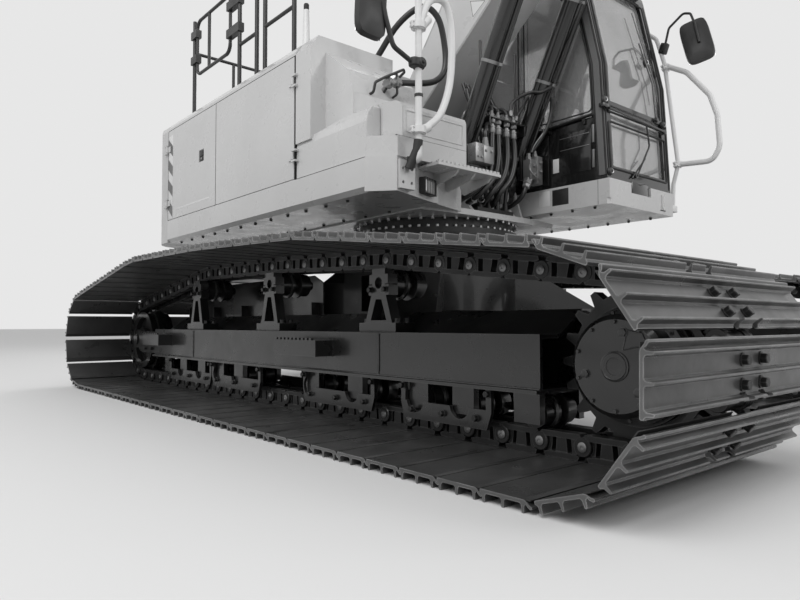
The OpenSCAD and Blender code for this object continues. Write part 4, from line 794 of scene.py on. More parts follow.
drive = {"boltCircle": 0.190, "bolts": 20, "out": 0.184, "height": 0.4024}
beam = {"rear": -1.830, "front": 2.164, "low": 0.296, "top": 0.506, "outer": 0.170}
stands = [(1.185, 0.751), (0.100, 0.797), (-1.000, 0.811)]      # x, height of each carrier roller's axle
guardEnds = [(1.364, 1.919), (0.506, 1.159), (-0.705, 0.002), (-1.496, -0.720)]


def boltUnit(name, radius, height):
    shape = bmesh.new()
    addNut(shape, (0, 0, 0), (0, 0, 1), radius, height)
    return unitOf(shape, name)


def weldBead(shape, start, end, radius=0.005):
    # a weld with its ripples
    start, end = Vector(start), Vector(end)
    count = max(2, int((end - start).length / 0.02))
    axis = (end - start).normalized()
    profile = []
    for k in range(count + 1):
        along = (end - start).length * k / count
        profile.append((radius * (1.0 if k % 2 else 0.72), along))
    profile = [(radius * 0.3, 0.0)] + [(r, a + 0.001)
                                       for r, a in profile] + [(radius * 0.3, (end - start).length + 0.002)]
    addTurned(shape, profile, start, axis, 8)


tinyBolt = boltUnit("tinyBolt", 0.0075, 0.007)
ringBolt = boltUnit("ringBolt", 0.0115, 0.016)
bigBolt = boltUnit("bigBolt", 0.016, 0.022)

for side, sign in (("right", -1), ("left", 1)):
    middle = sign * track["middle"]
    hub = (track["sprocket"], middle + sign * drive["out"], drive["height"])
    repeat(side + "DriveBolts", ringTree, emptyMesh(),
           {"Count": drive["bolts"], "Radius": drive["boltCircle"]}, tinyBolt,
           "undercarriage", "chainSteel",
           placed=toWorld @ Matrix.Translation((hub[0], middle + sign * 0.0925, hub[2]))
           @ Matrix.Rotation(-sign * math.pi / 2, 4, "X"))
    shape = bmesh.new()
    # three plugs, and ten screws round them
    for count, first, reach, lift, radius, height in (
            (3, 75, 0.118, 0.001, 0.015, 0.009), (10, 18, 0.150, 0.0005, 0.0075, 0.007)):
        for k in range(count):
            turn = math.radians(first + 360 / count * k)
            place = (hub[0] + reach * math.cos(turn), hub[1] + sign * lift, hub[2] + reach * math.sin(turn))
            addNut(shape, place, (0, sign, 0), radius, height)
    # the blank plate field cast into the cover
    rim = [(0.030, 0.055), (0.115, 0.075), (0.098, 0.112), (0.045, 0.122)]
    for a, b in zip(rim, rim[1:] + rim[:1]):
        addRod(shape, (hub[0] + a[0], hub[1] + sign * 0.002, hub[2] + a[1]),
               (hub[0] + b[0], hub[1] + sign * 0.002, hub[2] + b[1]), 0.0028, 8)
    addTurned(shape, [(0.052, 0), (0.052, 0.004), (0.047, 0.006), (0.044, 0.004)],
              (hub[0], hub[1] + sign * 0.003, hub[2]), (0, sign, 0), 32)
    makePiece(side + "DriveCover", shape, "undercarriage", "framePaint")

    shape = bmesh.new()
    edge = middle + sign * (beam["outer"] + 0.001)
    weldBead(shape, (beam["rear"], edge, beam["low"] + 0.002),
             (beam["front"], edge, beam["low"] + 0.002), 0.006)
    for x in (-1.042, -1.029, 1.188, 1.201):
        weldBead(shape, (x, edge + sign * 0.001, beam["low"] + 0.02),
                 (x, edge + sign * 0.001, beam["top"] - 0.008), 0.004)
    for x in (0.373, 0.805 - 0.012, -1.800, -1.452 - 0.012):
        for z in (0.376, 0.448):
            weldBead(shape, (x, edge, z), (x + 0.012, edge, z), 0.004)
    for x, z in stands:
        weldBead(shape, (x - 0.142, edge + sign * 0.001, beam["top"] + 0.003),
                 (x + 0.142, edge + sign * 0.001, beam["top"] + 0.003), 0.005)
    makePiece(side + "BeamWelds", shape, "undercarriage", "framePaint")

    spots, outwards = [], facing((0, sign, 0))
    for x, z in stands:
        for dx in (-0.120, 0.120):
            spots += [(spot(x + dx, middle + sign * (0.172 - dy), beam["top"] + 0.046), (0, 0, 0))
                      for dy in (0.032, 0.088)]
        spots += [(spot(x + dx, middle + sign * 0.162, z - 0.036), outwards) for dx in (-0.056, 0.056)]
    for x0, x1 in guardEnds:
        face = middle + sign * 0.168
        spots += [(spot(x, face, 0.262), outwards) for x in (x0 + 0.014, x1 - 0.014)]
        spots += [(spot(x, face, 0.158), outwards) for x in (x0 + 0.08, (x0 + x1) / 2, x1 - 0.08)]
    for x in (-1.70, -1.95, -2.10):
        for z in (0.34, 0.455):
            spots.append((spot(x, middle + sign * 0.150, z), outwards))
    repeat(side + "BeamBolts", spotTree, pointMesh(spots), {"Size": 0.85}, bigBolt, "undercarriage",
           "chainSteel")

# a plate behind the upper chain keeps stones off the carrier rollers; it stands on the track frame
chainGuard = {"inner": 0.235, "rear": -2.060, "front": 0.110, "low": 0.490, "thick": 0.010}
for side, sign in (("right", -1), ("left", 1)):
    shape = bmesh.new()
    y = sign * (track["middle"] - chainGuard["inner"])
    outline = [(chainGuard["rear"], chainGuard["low"]), (chainGuard["rear"], 0.700), (-1.700, 0.815),
               (-1.300, 0.868), (-0.500, 0.872), (0.000, 0.872),
               (chainGuard["front"], 0.820), (chainGuard["front"], chainGuard["low"])]
    addPlate(shape, outline, y - chainGuard["thick"] / 2, y + chainGuard["thick"] / 2, 0.002)
    for x in (-1.950, -1.450, -0.950, -0.450, 0.050):
        addBlock(shape, (x - 0.006, min(y, y + sign * 0.060), 0.500),
                 (x + 0.006, max(y, y + sign * 0.060), 0.690), 0.002)
    addBlock(shape, (chainGuard["rear"], min(y, y + sign * 0.075), 0.488),
             (chainGuard["front"], max(y, y + sign * 0.075), 0.498), 0.002)
    makePiece(side + "ChainGuard", shape, "undercarriage", "framePaint")

# slewing ring: a row of bolts on its lower half, and one under the house that points down
for name, count, radius, body, height, turn in (
        ("ringLowerBolts", 60, 0.612, "undercarriage", 1.2185, 0),
        ("ringUpperBolts", 48, 0.628, "house", 1.2895, math.pi)):
    repeat(name, ringTree, emptyMesh(), {"Count": count, "Radius": radius}, ringBolt, body, "brightSteel",
           placed=toWorld @ Matrix.Translation((0, 0, height)) @ Matrix.Rotation(turn, 4, "X"))
shape = bmesh.new()
addTurned(shape, [(0.592, 0), (0.640, 0.003), (0.642, 0.012), (0.640, 0.022), (0.592, 0.025),
                  (0.588, 0.012)], (0, 0, 1.160), (0, 0, 1), 96, hollow=True)
addTurned(shape, [(0.514, 0.0), (0.518, 0.010), (0.514, 0.020), (0.506, 0.020), (0.506, 0)], (0, 0, 1.2245),
          (0, 0, 1), 96, hollow=True)
makePiece("ringSeals", shape, "undercarriage", "rubber")
print("stage: undercarriage details")

house = {"side": 1.275, "floor": 1.500, "doorTop": 2.330, "under": 1.300}


def addRim(shape, corners, radius, closed=True):
    # a thin bead along corners
    pairs = list(zip(corners, corners[1:])) + ([(corners[-1], corners[0])] if closed else [])
    for a, b in pairs:
        addRod(shape, a, b, radius, 8)


def addLatch(shape, trim, x, z, side):
    # a flush paddle latch in its dish, with its lock
    y = side * (house["side"] - 0.0065)
    addBlock(shape, (x - 0.046, y - 0.002, z - 0.046), (x + 0.046, y + 0.002, z + 0.046), 0.0015)
    out = y + side * 0.002
    addBlock(shape, (x - 0.034, min(out, out + side * 0.006), z - 0.004),
             (x + 0.034, max(out, out + side * 0.006), z + 0.034), 0.002)
    addTurned(trim, [(0.0095, 0), (0.0095, 0.005), (0.0075, 0.0062), (0.003, 0.0062), (0.0025, 0.004),
                     (0, 0.004)], (x, out, z - 0.024), (0, side, 0), 20)


shape, trim = bmesh.new(), bmesh.new()
addLatch(shape, trim, -1.495, 1.960, -1)
makePiece("rearDoorLatch", shape, "side_door_rear", "moulding")
makePiece("rearDoorLock", trim, "side_door_rear", "brightSteel")

# the seals that show in the gaps round the doors of the right side
shape = bmesh.new()
for x0, x1 in ((-2.2365, -1.2125), (-1.2175, -0.0025)):
    for x in (x0, x1):
        addBlock(shape, (x - 0.0022, -1.2742, house["floor"]), (x + 0.0022, -1.230, house["doorTop"]), 0.0005)
addBlock(shape, (-2.235, -1.2735, house["doorTop"] + 0.0002),
         (0.000, -1.262, house["doorTop"] + 0.0042), 0.0005)
addBlock(shape, (-2.235, -1.2742, house["floor"] - 0.0045), (0.000, -1.240, house["floor"] - 0.0005), 0.0005)
# the seam of the skirt runs on below the tool box to the corner
addBlock(shape, (0.000, -1.2757, 1.4962), (0.764, -1.2745, 1.4998), 0.0003)
makePiece("doorSeals", shape, "house", "rubber")

# hatched strip at the rear of the right side: light and dark bands across it
strip = {"rear": -2.222, "front": -2.118, "low": 1.512, "high": 2.275}
light, dark = bmesh.new(), bmesh.new()
addBlock(light, (strip["rear"], -1.2762, strip["low"]), (strip["front"], -1.2750, strip["high"]), 0.0004)
z = strip["low"] + 0.01
while z + 0.095 + 0.075 < strip["high"]:
    width = strip["front"] - strip["rear"]
    addPlate(dark, [(strip["rear"] + 0.002, z + width * 0.75), (strip["front"] - 0.002, z),
                    (strip["front"] - 0.002, z + 0.095),
                    (strip["rear"] + 0.002, z + 0.095 + width * 0.75)], -1.2770, -1.2763)
    z += 0.185
makePiece("hatchStripBase", light, "side_door_rear", "labelWhite")
makePiece("hatchStripBands", dark, "side_door_rear", "stripeRed")

# a blank foil on the door, and blank notice plates on the deck and the cab
shape = bmesh.new()
addBlock(shape, (-2.035, -1.2756, 1.575), (-1.330, -1.2750, 1.590), 0.0002)
addBlock(shape, (0.702, 0.3992, 1.410), (0.800, 0.4000, 1.520), 0.0003)
addBlock(shape, (0.832, 0.3990, 1.640), (0.925, 0.3999, 1.742), 0.0003)
makePiece("blankLabels", shape, "house", "labelWhite")
shape = bmesh.new()
addBlock(shape, (0.822, 0.3990, 1.402), (0.962, 0.4000, 1.518), 0.0004)
addRim(shape, [(0.826, 0.399, 1.406), (0.958, 0.399, 1.406), (0.958, 0.399, 1.514),
               (0.826, 0.399, 1.514)], 0.0012)
makePiece("blankPlate", shape, "house", "labelBlack")

# bolts under the side members and under the cab's deck
rowUnit = boltUnit("rowBolt", 0.010, 0.011)
for name, start, step, count in (
        ("underBoltsRight", (-2.10, -1.195, house["under"] - 0.0002), 0.235, 12),
        ("underBoltsInner", (-2.00, -0.760, house["under"] - 0.0002), 0.262, 10),
        ("underBoltsLeft", (-2.10, 1.195, house["under"] - 0.0002), 0.235, 8),
        ("cabDeckBolts", (0.03, 0.455, 1.3598), 0.185, 7),
        ("cabDeckBoltsLeft", (0.03, 1.215, 1.3598), 0.185, 7)):
    repeatInRow(name, rowUnit, count, (step, 0.0, 0.0), start, "house", "chainSteel",
                hanging=True)

# belly covers between the frame's members
shape = bmesh.new()
for x0, x1 in ((-2.10, -1.32), (-1.30, -0.72)):
    for s in (-1, 1):
        addBlock(shape, (x0, min(s * 0.10, s * 0.66), 1.2865), (x1, max(s * 0.10, s * 0.66), 1.2895), 0.001)
        for x in (x0 + 0.04, x1 - 0.04):
            for y in (0.14, 0.62):
                addNut(shape, (x, s * y, 1.2866), (0, 0, -1), 0.010, 0.009)
makePiece("bellyCovers", shape, "house", "ringSteel")

# seam of the deck's nose and its upright reflector
shape = bmesh.new()
addBlock(shape, (1.199, 0.3994, 1.362), (1.202, 0.4000, 1.534), 0.0002)
addBlock(shape, (1.2900, 1.085, 1.385), (1.2935, 1.155, 1.392), 0.0008)
makePiece("deckSeam", shape, "house", "rubber")
shape = bmesh.new()
addBlock(shape, (1.2902, 1.100, 1.400), (1.2990, 1.136, 1.505), 0.003)
makePiece("deckReflector", shape, "house", "lampGlass")

# engine cover: louvres, handles, tread strips, exhaust and air intake
slat = bmesh.new()
addPlate(slat, [(-0.020, 0.0), (-0.014, 0.010), (0.010, 0.012), (0.020, 0.0)], -0.180, 0.180, 0.001)
slatUnit = unitOf(slat, "slatUnit")
for k, (x, y) in enumerate(((-1.72, -0.62), (-1.72, -0.05), (-0.98, -0.62), (-0.98, -0.05))):
    repeatInRow("hoodLouvre%d" % k, slatUnit, 9, (0.052, 0.0, 0.0), (x, y, 2.4655), "engine_hood",
                "moulding")
sideSlat = bmesh.new()
addBlock(sideSlat, (-0.20, 0.0, 0.0), (0.20, 0.010, 0.020), 0.004)
sideSlatUnit = unitOf(sideSlat, "sideSlatUnit")
for k, x in enumerate((-1.80, -1.30)):
    repeatInRow("leftLouvre%d" % k, sideSlatUnit, 13, (0.0, 0.0, 0.042), (x, 1.2746, 1.66), "side_door_left",
                "moulding")
shape = bmesh.new()
for y in (-0.60, -0.06):
    addPipe(shape, [(-0.50, y - 0.07, 2.464), (-0.50, y - 0.07, 2.510), (-0.50, y + 0.07, 2.510),
                    (-0.50, y + 0.07, 2.464)], 0.007, 0.02, 10)
makePiece("hoodHandles", shape, "engine_hood", "railPaint")
shape = bmesh.new()
for x in (-0.37, -0.16):
    for y in (-1.12, -0.90, -0.68, -0.46):
        if x > -0.3 and y > -0.7:
            continue
        addBlock(shape, (x, y, 2.4198), (x + 0.14, y + 0.12, 2.4230), 0.001)
for x in (-2.70, -2.52, -2.36):
    for y in (-0.85, -0.20, 0.20, 0.62):
        addBlock(shape, (x, y, 2.4098), (x + 0.10, y + 0.24, 2.4132), 0.001)
makePiece("treadStrips", shape, "house", "rubber")
shape = bmesh.new()
addTurned(shape, [(0.075, 0), (0.075, 0.012), (0.060, 0.020), (0.060, 0.165), (0.066, 0.170),
                  (0.066, 0.190), (0.058, 0.190), (0.056, 0.03), (0.0, 0.03)],
          (-1.55, 0.62, 2.4195), (0, 0, 1), 36)
addPipe(shape, [(-1.55, 0.62, 2.45), (-1.55, 0.62, 2.66), (-1.63, 0.62, 2.73)], 0.046, 0.10, 24, 8)
makePiece("exhaust", shape, "house", "engineIron")
shape = bmesh.new()
addTurned(shape, [(0.055, 0), (0.055, 0.16), (0.115, 0.18), (0.125, 0.20), (0.125, 0.25), (0.100, 0.285),
                  (0.030, 0.300), (0, 0.300)],
          (-0.62, 0.66, 2.4195), (0, 0, 1), 36)
makePiece("airIntake", shape, "house", "moulding")
print("stage: house details")

# counterweight: tail lamps and camera
shape, trim = bmesh.new(), bmesh.new()
for y in (-0.80, 0.80):
    back = -math.sqrt(2.83 ** 2 - y ** 2)
    turned = Matrix.Rotation(math.atan2(y, -back) * -1, 3, "Z")
    addBlock(shape, (back - 0.012, y - 0.095, 1.70), (back + 0.015, y + 0.095, 1.76), 0.004, turned)
    addBlock(trim, (back - 0.0165, y - 0.080, 1.712), (back - 0.004, y + 0.080, 1.748), 0.004, turned)
addBlock(shape, (-2.846, -0.035, 2.265), (-2.815, 0.035, 2.325), 0.006)
addTurned(trim, [(0.014, 0), (0.014, 0.006), (0.010, 0.008), (0, 0.009)], (-2.846, 0, 2.295), (-1, 0, 0), 20)
makePiece("tailLampCases", shape, "house", "moulding")
makePiece("tailLampLenses", trim, "house", "lampGlass")

corner = {"tubeX": 0.990, "tubeY": -1.065, "leftTubeY": 1.330, "lampTurn": 18.754}


def clampOn(shape, place, axis, radius, length, wide):
    # two halves round a tube, with their bolts
    axis = Vector(axis).normalized()
    place = Vector(place)
    addTurned(shape, [(radius + 0.0005, 0), (radius + 0.010, 0.002), (radius + 0.010, length - 0.002),
                      (radius + 0.0005, length)], place - axis * length / 2, axis, 24)
    across = axis.cross(Vector((0.3, 0.2, 0.9)) if abs(axis.z) < 0.7 else Vector((1, 0, 0))).normalized()
    out = axis.cross(across)
    for s in (-1, 1):
        for t in (-1, 1):
            at = place + across * s * (radius + wide * 0.5) + axis * t * length * 0.28
            addRod(shape, at - out * 0.014, at + out * 0.014, 0.006, 10)
            addNut(shape, at + out * 0.013, out, 0.009, 0.007)
    turn = Matrix((across, out, axis)).transposed()
    addBox(shape, (2 * (radius + wide), 0.012, length * 0.96), place, turn, 0.003, 1)


# lamp in the step's skirt: a case with four upright bars in a frame
beamTurn = Matrix.Rotation(math.radians(corner["lampTurn"]), 3, "Z")
lampAt = Vector((0.905 - (1.155 - 0.845) * math.tan(math.radians(corner["lampTurn"])), -0.845, 0))


def lampSpot(x, y, z):
    return lampAt + beamTurn @ Vector((x, y, z))


def lampBlock(shape, low, high, edge):
    low, high = Vector(low), Vector(high)
    addBox(shape, high - low, lampSpot(*(low + high) / 2), beamTurn, edge)


shape, lenses, frameShape = bmesh.new(), bmesh.new(), bmesh.new()
lampBlock(shape, (0.001, -0.074, 1.326), (0.022, 0.074, 1.426), 0.004)
for k in range(4):
    y = -0.0495 + 0.033 * k
    lampBlock(lenses, (0.020, y - 0.0105, 1.336), (0.036, y + 0.0105, 1.416), 0.006)
for y in (-0.068, 0.068):
    lampBlock(shape, (0.018, y - 0.006, 1.328), (0.044, y + 0.006, 1.424), 0.003)
for z in (1.327, 1.419):
    lampBlock(shape, (0.018, -0.074, z), (0.044, 0.074, z + 0.006), 0.002)
for k in range(3):
    y = -0.033 + 0.033 * k
    lampBlock(frameShape, (0.024, y - 0.0025, 1.332), (0.046, y + 0.0025, 1.420), 0.001)
for y in (-0.066, 0.066):
    for z in (1.336, 1.416):
        addNut(frameShape, lampSpot(0.0445, y, z), beamTurn @ Vector((1, 0, 0)), 0.0045, 0.004)
# the two lamps over the cab
for y in (0.585, 1.090):
    addBlock(shape, (0.885, y - 0.048, 3.214), (0.925, y + 0.048, 3.276), 0.008)
    addBlock(shape, (0.890, y - 0.020, 3.200), (0.915, y + 0.020, 3.216), 0.002)
    for k in range(5):
        addBlock(shape, (0.877, y - 0.040 + 0.018 * k, 3.220), (0.887, y - 0.034 + 0.018 * k, 3.270), 0.001)
    addBlock(lenses, (0.922, y - 0.043, 3.219), (0.934, y + 0.043, 3.271), 0.008)
    for k in (-1, 0, 1):
        addBlock(frameShape, (0.9335, y + 0.022 * k - 0.0015, 3.217),
                 (0.9375, y + 0.022 * k + 0.0015, 3.273), 0.0007)
makePiece("lampCases", shape, "house", "moulding", replaced=("work_lamps",))
glow = glassFinish("litLens", 0.85, 1.0)
glow.node_tree.nodes["Principled BSDF"].inputs["Emission Color"].default_value = (1, 1, 1, 1)
glow.node_tree.nodes["Principled BSDF"].inputs["Emission Strength"].default_value = 0.35
makePiece("lampLenses", lenses, "house", "litLens")
makePiece("lampGrilles", frameShape, "house", "steelGrey")

# the guard tubes at both front corners, drawn again as round bent tube, with collars and feet
tubes = bmesh.new()
addPipe(tubes, [(0.9195, -1.065, 1.470), (0.990, -1.065, 1.470), (0.990, -1.065, 2.560)], 0.020, 0.055, 24, 8)
loop = [(-1.062, 1.640), (-0.985, 1.682), (-0.893, 1.772), (-0.822, 1.945), (-0.798, 2.150),
        (-0.803, 2.330), (-0.850, 2.436), (-0.932, 2.440), (-1.000, 2.380), (-1.062, 2.240)]
addHose(tubes, [(corner["tubeX"], y, z) for y, z in loop], 0.022, 24)
for z in (1.615, 2.215):
    addTurned(tubes, [(0.020, 0), (0.030, 0.001), (0.032, 0.004), (0.032, 0.046), (0.030, 0.049),
                      (0.020, 0.050)], (0.990, -1.065, z), (0, 0, 1), 32, hollow=True)
for radius, bend, sides, places in (
        (0.016, 0.09, 20, [(1.070, 2.870), (1.150, 2.800), (1.215, 2.580), (1.310, 1.770), (1.270, 1.620),
                           (1.262, 1.440)]),
        (0.020, 0.12, 24, [(1.225, 2.560), (1.390, 2.460), (1.560, 2.240), (1.610, 2.080), (1.625, 1.840),
                           (1.570, 1.745), (1.308, 1.765)])):
    addPipe(tubes, [(x, corner["leftTubeY"], z) for x, z in places], radius, bend, sides, 8)
addBlock(tubes, (1.235, 1.2755, 1.400), (1.289, 1.350, 1.450), 0.004)
addRod(tubes, (1.072, 1.2755, 2.868), (1.072, 1.330, 2.868), 0.013, 20)
makePiece("guardTubes", tubes, "house", "whitePaint", replaced=("front_rails",))

# clamps of the white guard tube, its black strap and the screws of its foot
shape, straps = bmesh.new(), bmesh.new()
for z in (1.640, 2.240):
    clampOn(shape, (corner["tubeX"], corner["tubeY"], z), (0, 0, 1), 0.0325, 0.042, 0.020)
    addPipe(shape, [(corner["tubeX"], corner["tubeY"] + 0.02, z),
                    (corner["tubeX"], corner["tubeY"] + 0.075,
                     z + (0.030 if z < 2 else 0.060))], 0.026, 0, 16)
addPipe(straps, [(0.988, -1.066, 1.585), (0.982, -1.070, 1.530), (0.962, -1.082, 1.480),
                 (0.938, -1.094, 1.425)], 0.0265, 0.05, 20, 5)
addTurned(straps, [(0.0205, 0), (0.025, 0.002), (0.025, 0.016), (0.0205, 0.018)],
          (corner["tubeX"], corner["tubeY"], 1.830), (0, 0, 1), 24)
addBlock(straps, (0.9195, -1.095, 1.440), (0.930, -1.035, 1.500), 0.003)
for z in (1.450, 1.490):
    addNut(straps, (0.930, -1.082, z), (1, 0, 0), 0.006, 0.005)
clampOn(shape, (1.2255, 1.330, 2.545), (0.27, 0, -0.96), 0.0205, 0.044, 0.022)
clampOn(shape, (1.3085, 1.330, 1.765), (0.12, 0, -0.99), 0.0205, 0.044, 0.022)
makePiece("tubeClamps", shape, "house", "whitePaint")
makePiece("tubeStraps", straps, "house", "moulding")

# the dark guard loop behind it, with its light clamp, and the thin rail on the tank
shape = bmesh.new()
addHose(shape, [(0.150, -0.700, 2.422), (0.330, -0.655, 2.610), (0.470, -0.560, 2.710),
                (0.520, -0.455, 2.640), (0.520, -0.393, 2.440),
                           (0.520, -0.400, 2.300), (0.520, -0.470, 2.212), (0.520, -0.590, 2.160),
                           (0.520, -0.842, 2.102)], 0.021, 20)
makePiece("darkGuardLoop", shape, "house", "railPaint")
shape = bmesh.new()
addPipe(shape, [(0.400, -1.022, 1.995), (0.520, -1.022, 1.997), (0.530, -1.014, 2.062),
                (0.535, -0.930, 2.115), (0.540, -0.790, 2.195),
                (0.490, -0.740, 2.205), (0.360, -0.730, 2.165)], 0.009, 0.022, 12)
addPipe(shape, [(0.530, -0.925, 2.115), (0.530, -0.905, 2.075), (0.400, -0.890, 1.995)], 0.008, 0.02, 10)
addPipe(shape, [(0.536, -0.845, 2.163), (0.530, -0.835, 2.025), (0.410, -0.830, 2.000)], 0.008, 0.02, 10)
makePiece("thinTankRail", shape, "house", "railPaint")
shape = bmesh.new()
addPipe(shape, [(0.520, -0.817, 2.104), (0.520, -0.922, 2.082)], 0.0255, 0, 18)
clampOn(shape, (0.520, -0.897, 2.088), (0, 1, -0.2), 0.0255, 0.040, 0.022)
clampOn(shape, (0.520, -0.832, 2.103), (0, 1, -0.1), 0.0255, 0.034, 0.022)
addPipe(shape, [(0.500, -0.897, 2.072), (0.380, -0.897, 2.010)], 0.016, 0, 14)
makePiece("loopClamps", shape, "house", "steelGrey")

# a pressed field on the tool box's front, and the short white pole on the house's corner
shape = bmesh.new()
addRim(shape, [(0.9055, -1.085, 1.650), (0.9055, -0.625, 1.650), (0.9055, -0.625, 1.772),
               (0.9055, -1.085, 1.772)], 0.0035)
makePiece("lidField", shape, "tank_lid", "bodyPaint")
pole, tip = bmesh.new(), bmesh.new()
addTurned(pole, [(0.030, 0), (0.030, 0.006), (0.025, 0.010), (0.0235, 0.120), (0.0205, 0.245),
                 (0.0205, 0.262)], (-0.033, -1.168, 2.420), (0, 0, 1), 28)
addTurned(tip, [(0.0180, 0), (0.0185, 0.004), (0.0185, 0.036), (0.0150, 0.044)],
          (-0.033, -1.168, 2.682), (0, 0, 1), 28)
makePiece("cornerPole", pole, "house", "whitePaint")
makePiece("cornerPoleTip", tip, "house", "rubber")

# bead that runs over the tool box lid, and the lid's rubber edge
shape = bmesh.new()
addRim(shape, [(0.508, -1.157, 1.8302), (0.790, -1.157, 1.8302)], 0.0018, False)
makePiece("lidBead", shape, "tank_lid", "bodyPaint")
shape = bmesh.new()
addBlock(shape, (0.507, -1.158, 1.6160), (0.904, -0.594, 1.6198), 0.001)
makePiece("lidSeal", shape, "house", "rubber")

# grating of the step: four rows of upright teeth
tooth = bmesh.new()
addPlate(tooth, [(-0.006, 0.0), (-0.006, 0.008), (0.0, 0.014), (0.006, 0.008), (0.006, 0.0)], -0.0045, 0.0045)
toothUnit = unitOf(tooth, "toothUnit")
for k in range(4):
    repeatInRow("stepTeeth%d" % k, toothUnit, 26, (0.0, 0.0205, 0.0),
                (0.845 + 0.042 * k, -0.905, 1.4855), "house",
                "brightSteel")
print("stage: right front corner")

mirror = {"wide": 0.190, "high": 0.350, "deep": 0.053}


def mirrorShell(shape, glass, place, turn, wide, high, deep):
    # back shell with soft corners; its glass sits in the rim on the side away from +x
    part = bmesh.new()
    bmesh.ops.create_cube(part, size=1.0)
    bmesh.ops.subdivide_edges(part, edges=part.edges, cuts=7, use_grid_fill=True)
    for vertex in part.verts:
        u, v, w = vertex.co.x * 2, vertex.co.y * 2, vertex.co.z * 2
        corner = (abs(v) ** 5 + abs(w) ** 5) ** 0.2
        scale = 1.0 if corner < 1e-6 else max(abs(v), abs(w)) / corner
        v, w = v * scale, w * scale
        swell = 1 - 0.55 * max(abs(v), abs(w)) ** 4
        x = deep * (-0.5 + 0.5 * (u + 1) * (0.45 + 0.55 * swell) if u > -0.99 else -0.5)
        vertex.co = (x, v * wide / 2 * (1 - 0.02 * (u + 1)), w * high / 2 * (1 - 0.02 * (u + 1)))
    bmesh.ops.rotate(part, matrix=turn, verts=part.verts)
    bmesh.ops.translate(part, vec=place, verts=part.verts)
    absorb(shape, part)
    pane = place + turn @ Vector((-deep / 2 - 0.0005, 0, 0))
    addBox(glass, (0.003, wide * 0.90, high * 0.92), pane, turn, 0.001, 1)


shape, glass = bmesh.new(), bmesh.new()
rightAt, leftAt = Vector((0.9715, -1.385, 2.262)), Vector((1.470, 1.3305, 2.680))
mirrorShell(shape, glass, rightAt, Matrix.Rotation(math.radians(-3), 3, "X"), mirror["wide"],
            mirror["high"], mirror["deep"])
leftTurn = Matrix.Rotation(math.radians(-14), 3, "Y") @ Matrix.Rotation(math.radians(-72), 3, "Z")
mirrorShell(shape, glass, leftAt, leftTurn, 0.204, 0.340, 0.053)
# arms, their ball clamps and the brackets on the shells
addPipe(shape, [(0.990, -1.080, 2.020), (0.992, -1.130, 2.022), (0.992, -1.255, 2.068),
                (0.996, -1.312, 2.215), (0.996, -1.330, 2.290)], 0.0140, 0.06, 16, 6)
addTurned(shape, [(0.026, 0), (0.034, 0.006), (0.036, 0.025), (0.034, 0.044), (0.026, 0.050)],
          (0.990, -1.095, 1.995), (0, 0, 1), 24)
addTurned(shape, [(0.0205, 0), (0.034, 0.002), (0.034, 0.052), (0.0205, 0.054)],
          (0.990, -1.065, 1.993), (0, 0, 1), 24)
addTurned(shape, [(0.022, -0.020), (0.030, -0.012), (0.032, 0.0), (0.030, 0.012), (0.022, 0.020)],
          (1.010, -1.062, 2.020), (1, 0, 0), 24)
addNut(shape, (1.028, -1.062, 2.020), (1, 0, 0), 0.010, 0.010)
addBlock(shape, (0.978, -1.356, 2.275), (0.996, -1.312, 2.355), 0.005)
for z in (2.288, 2.340):
    addNut(shape, (0.996, -1.334, z), (1, 0, 0), 0.007, 0.005)
addPipe(shape, [(1.225, 1.330, 2.735), (1.255, 1.330, 2.850), (1.370, 1.330, 2.925), (1.430, 1.322, 2.900),
                (1.462, 1.306, 2.820), (1.480, 1.300, 2.740)], 0.009, 0.04, 14, 6)
addPipe(shape, [(1.466, 1.304, 2.810), (1.500, 1.300, 2.650)], 0.011, 0, 12)
addBlock(shape, (1.184, 1.306, 2.660), (1.240, 1.3539, 2.742), 0.008,
         Matrix.Rotation(math.radians(20), 3, "Y"))
for dz in (-0.022, 0.022):
    addNut(shape, (1.208, 1.306, 2.700 + dz), (0, -1, 0), 0.008, 0.007)
makePiece("mirrorShells", shape, "house", "moulding", replaced=("mirrors",))
makePiece("mirrorGlass", glass, "house", "mirrorFace")
print("stage: mirrors")

# steel parts round the boom's foot: a rack of couplings, hoses and two valve blocks
valves = {"x": 0.72, "couplings": (-0.141, -0.078, 0.011, 0.086), "top": 1.955, "hose": 0.0215}


def addCoupling(shape, x, y, z, size=1.0):
    # hexagon, collar and crimped sleeve, pointing down
    addTurned(shape, [(0.017 * size, 0), (0.0195 * size, 0.004), (0.0195 * size, 0.026),
                      (0.017 * size, 0.030)], (x, y, z), (0, 0, -1), 6)
    addTurned(shape, [(0.0135 * size, 0), (0.0135 * size, 0.012), (0.0205 * size, 0.014),
                      (0.0205 * size, 0.024), (0.018 * size, 0.026), (0.018 * size, 0.030),
                      (0.0205 * size, 0.032), (0.0205 * size, 0.060), (0.0185 * size, 0.064)],
                      (x, y, z - 0.030 * size), (0, 0, -1), 20)
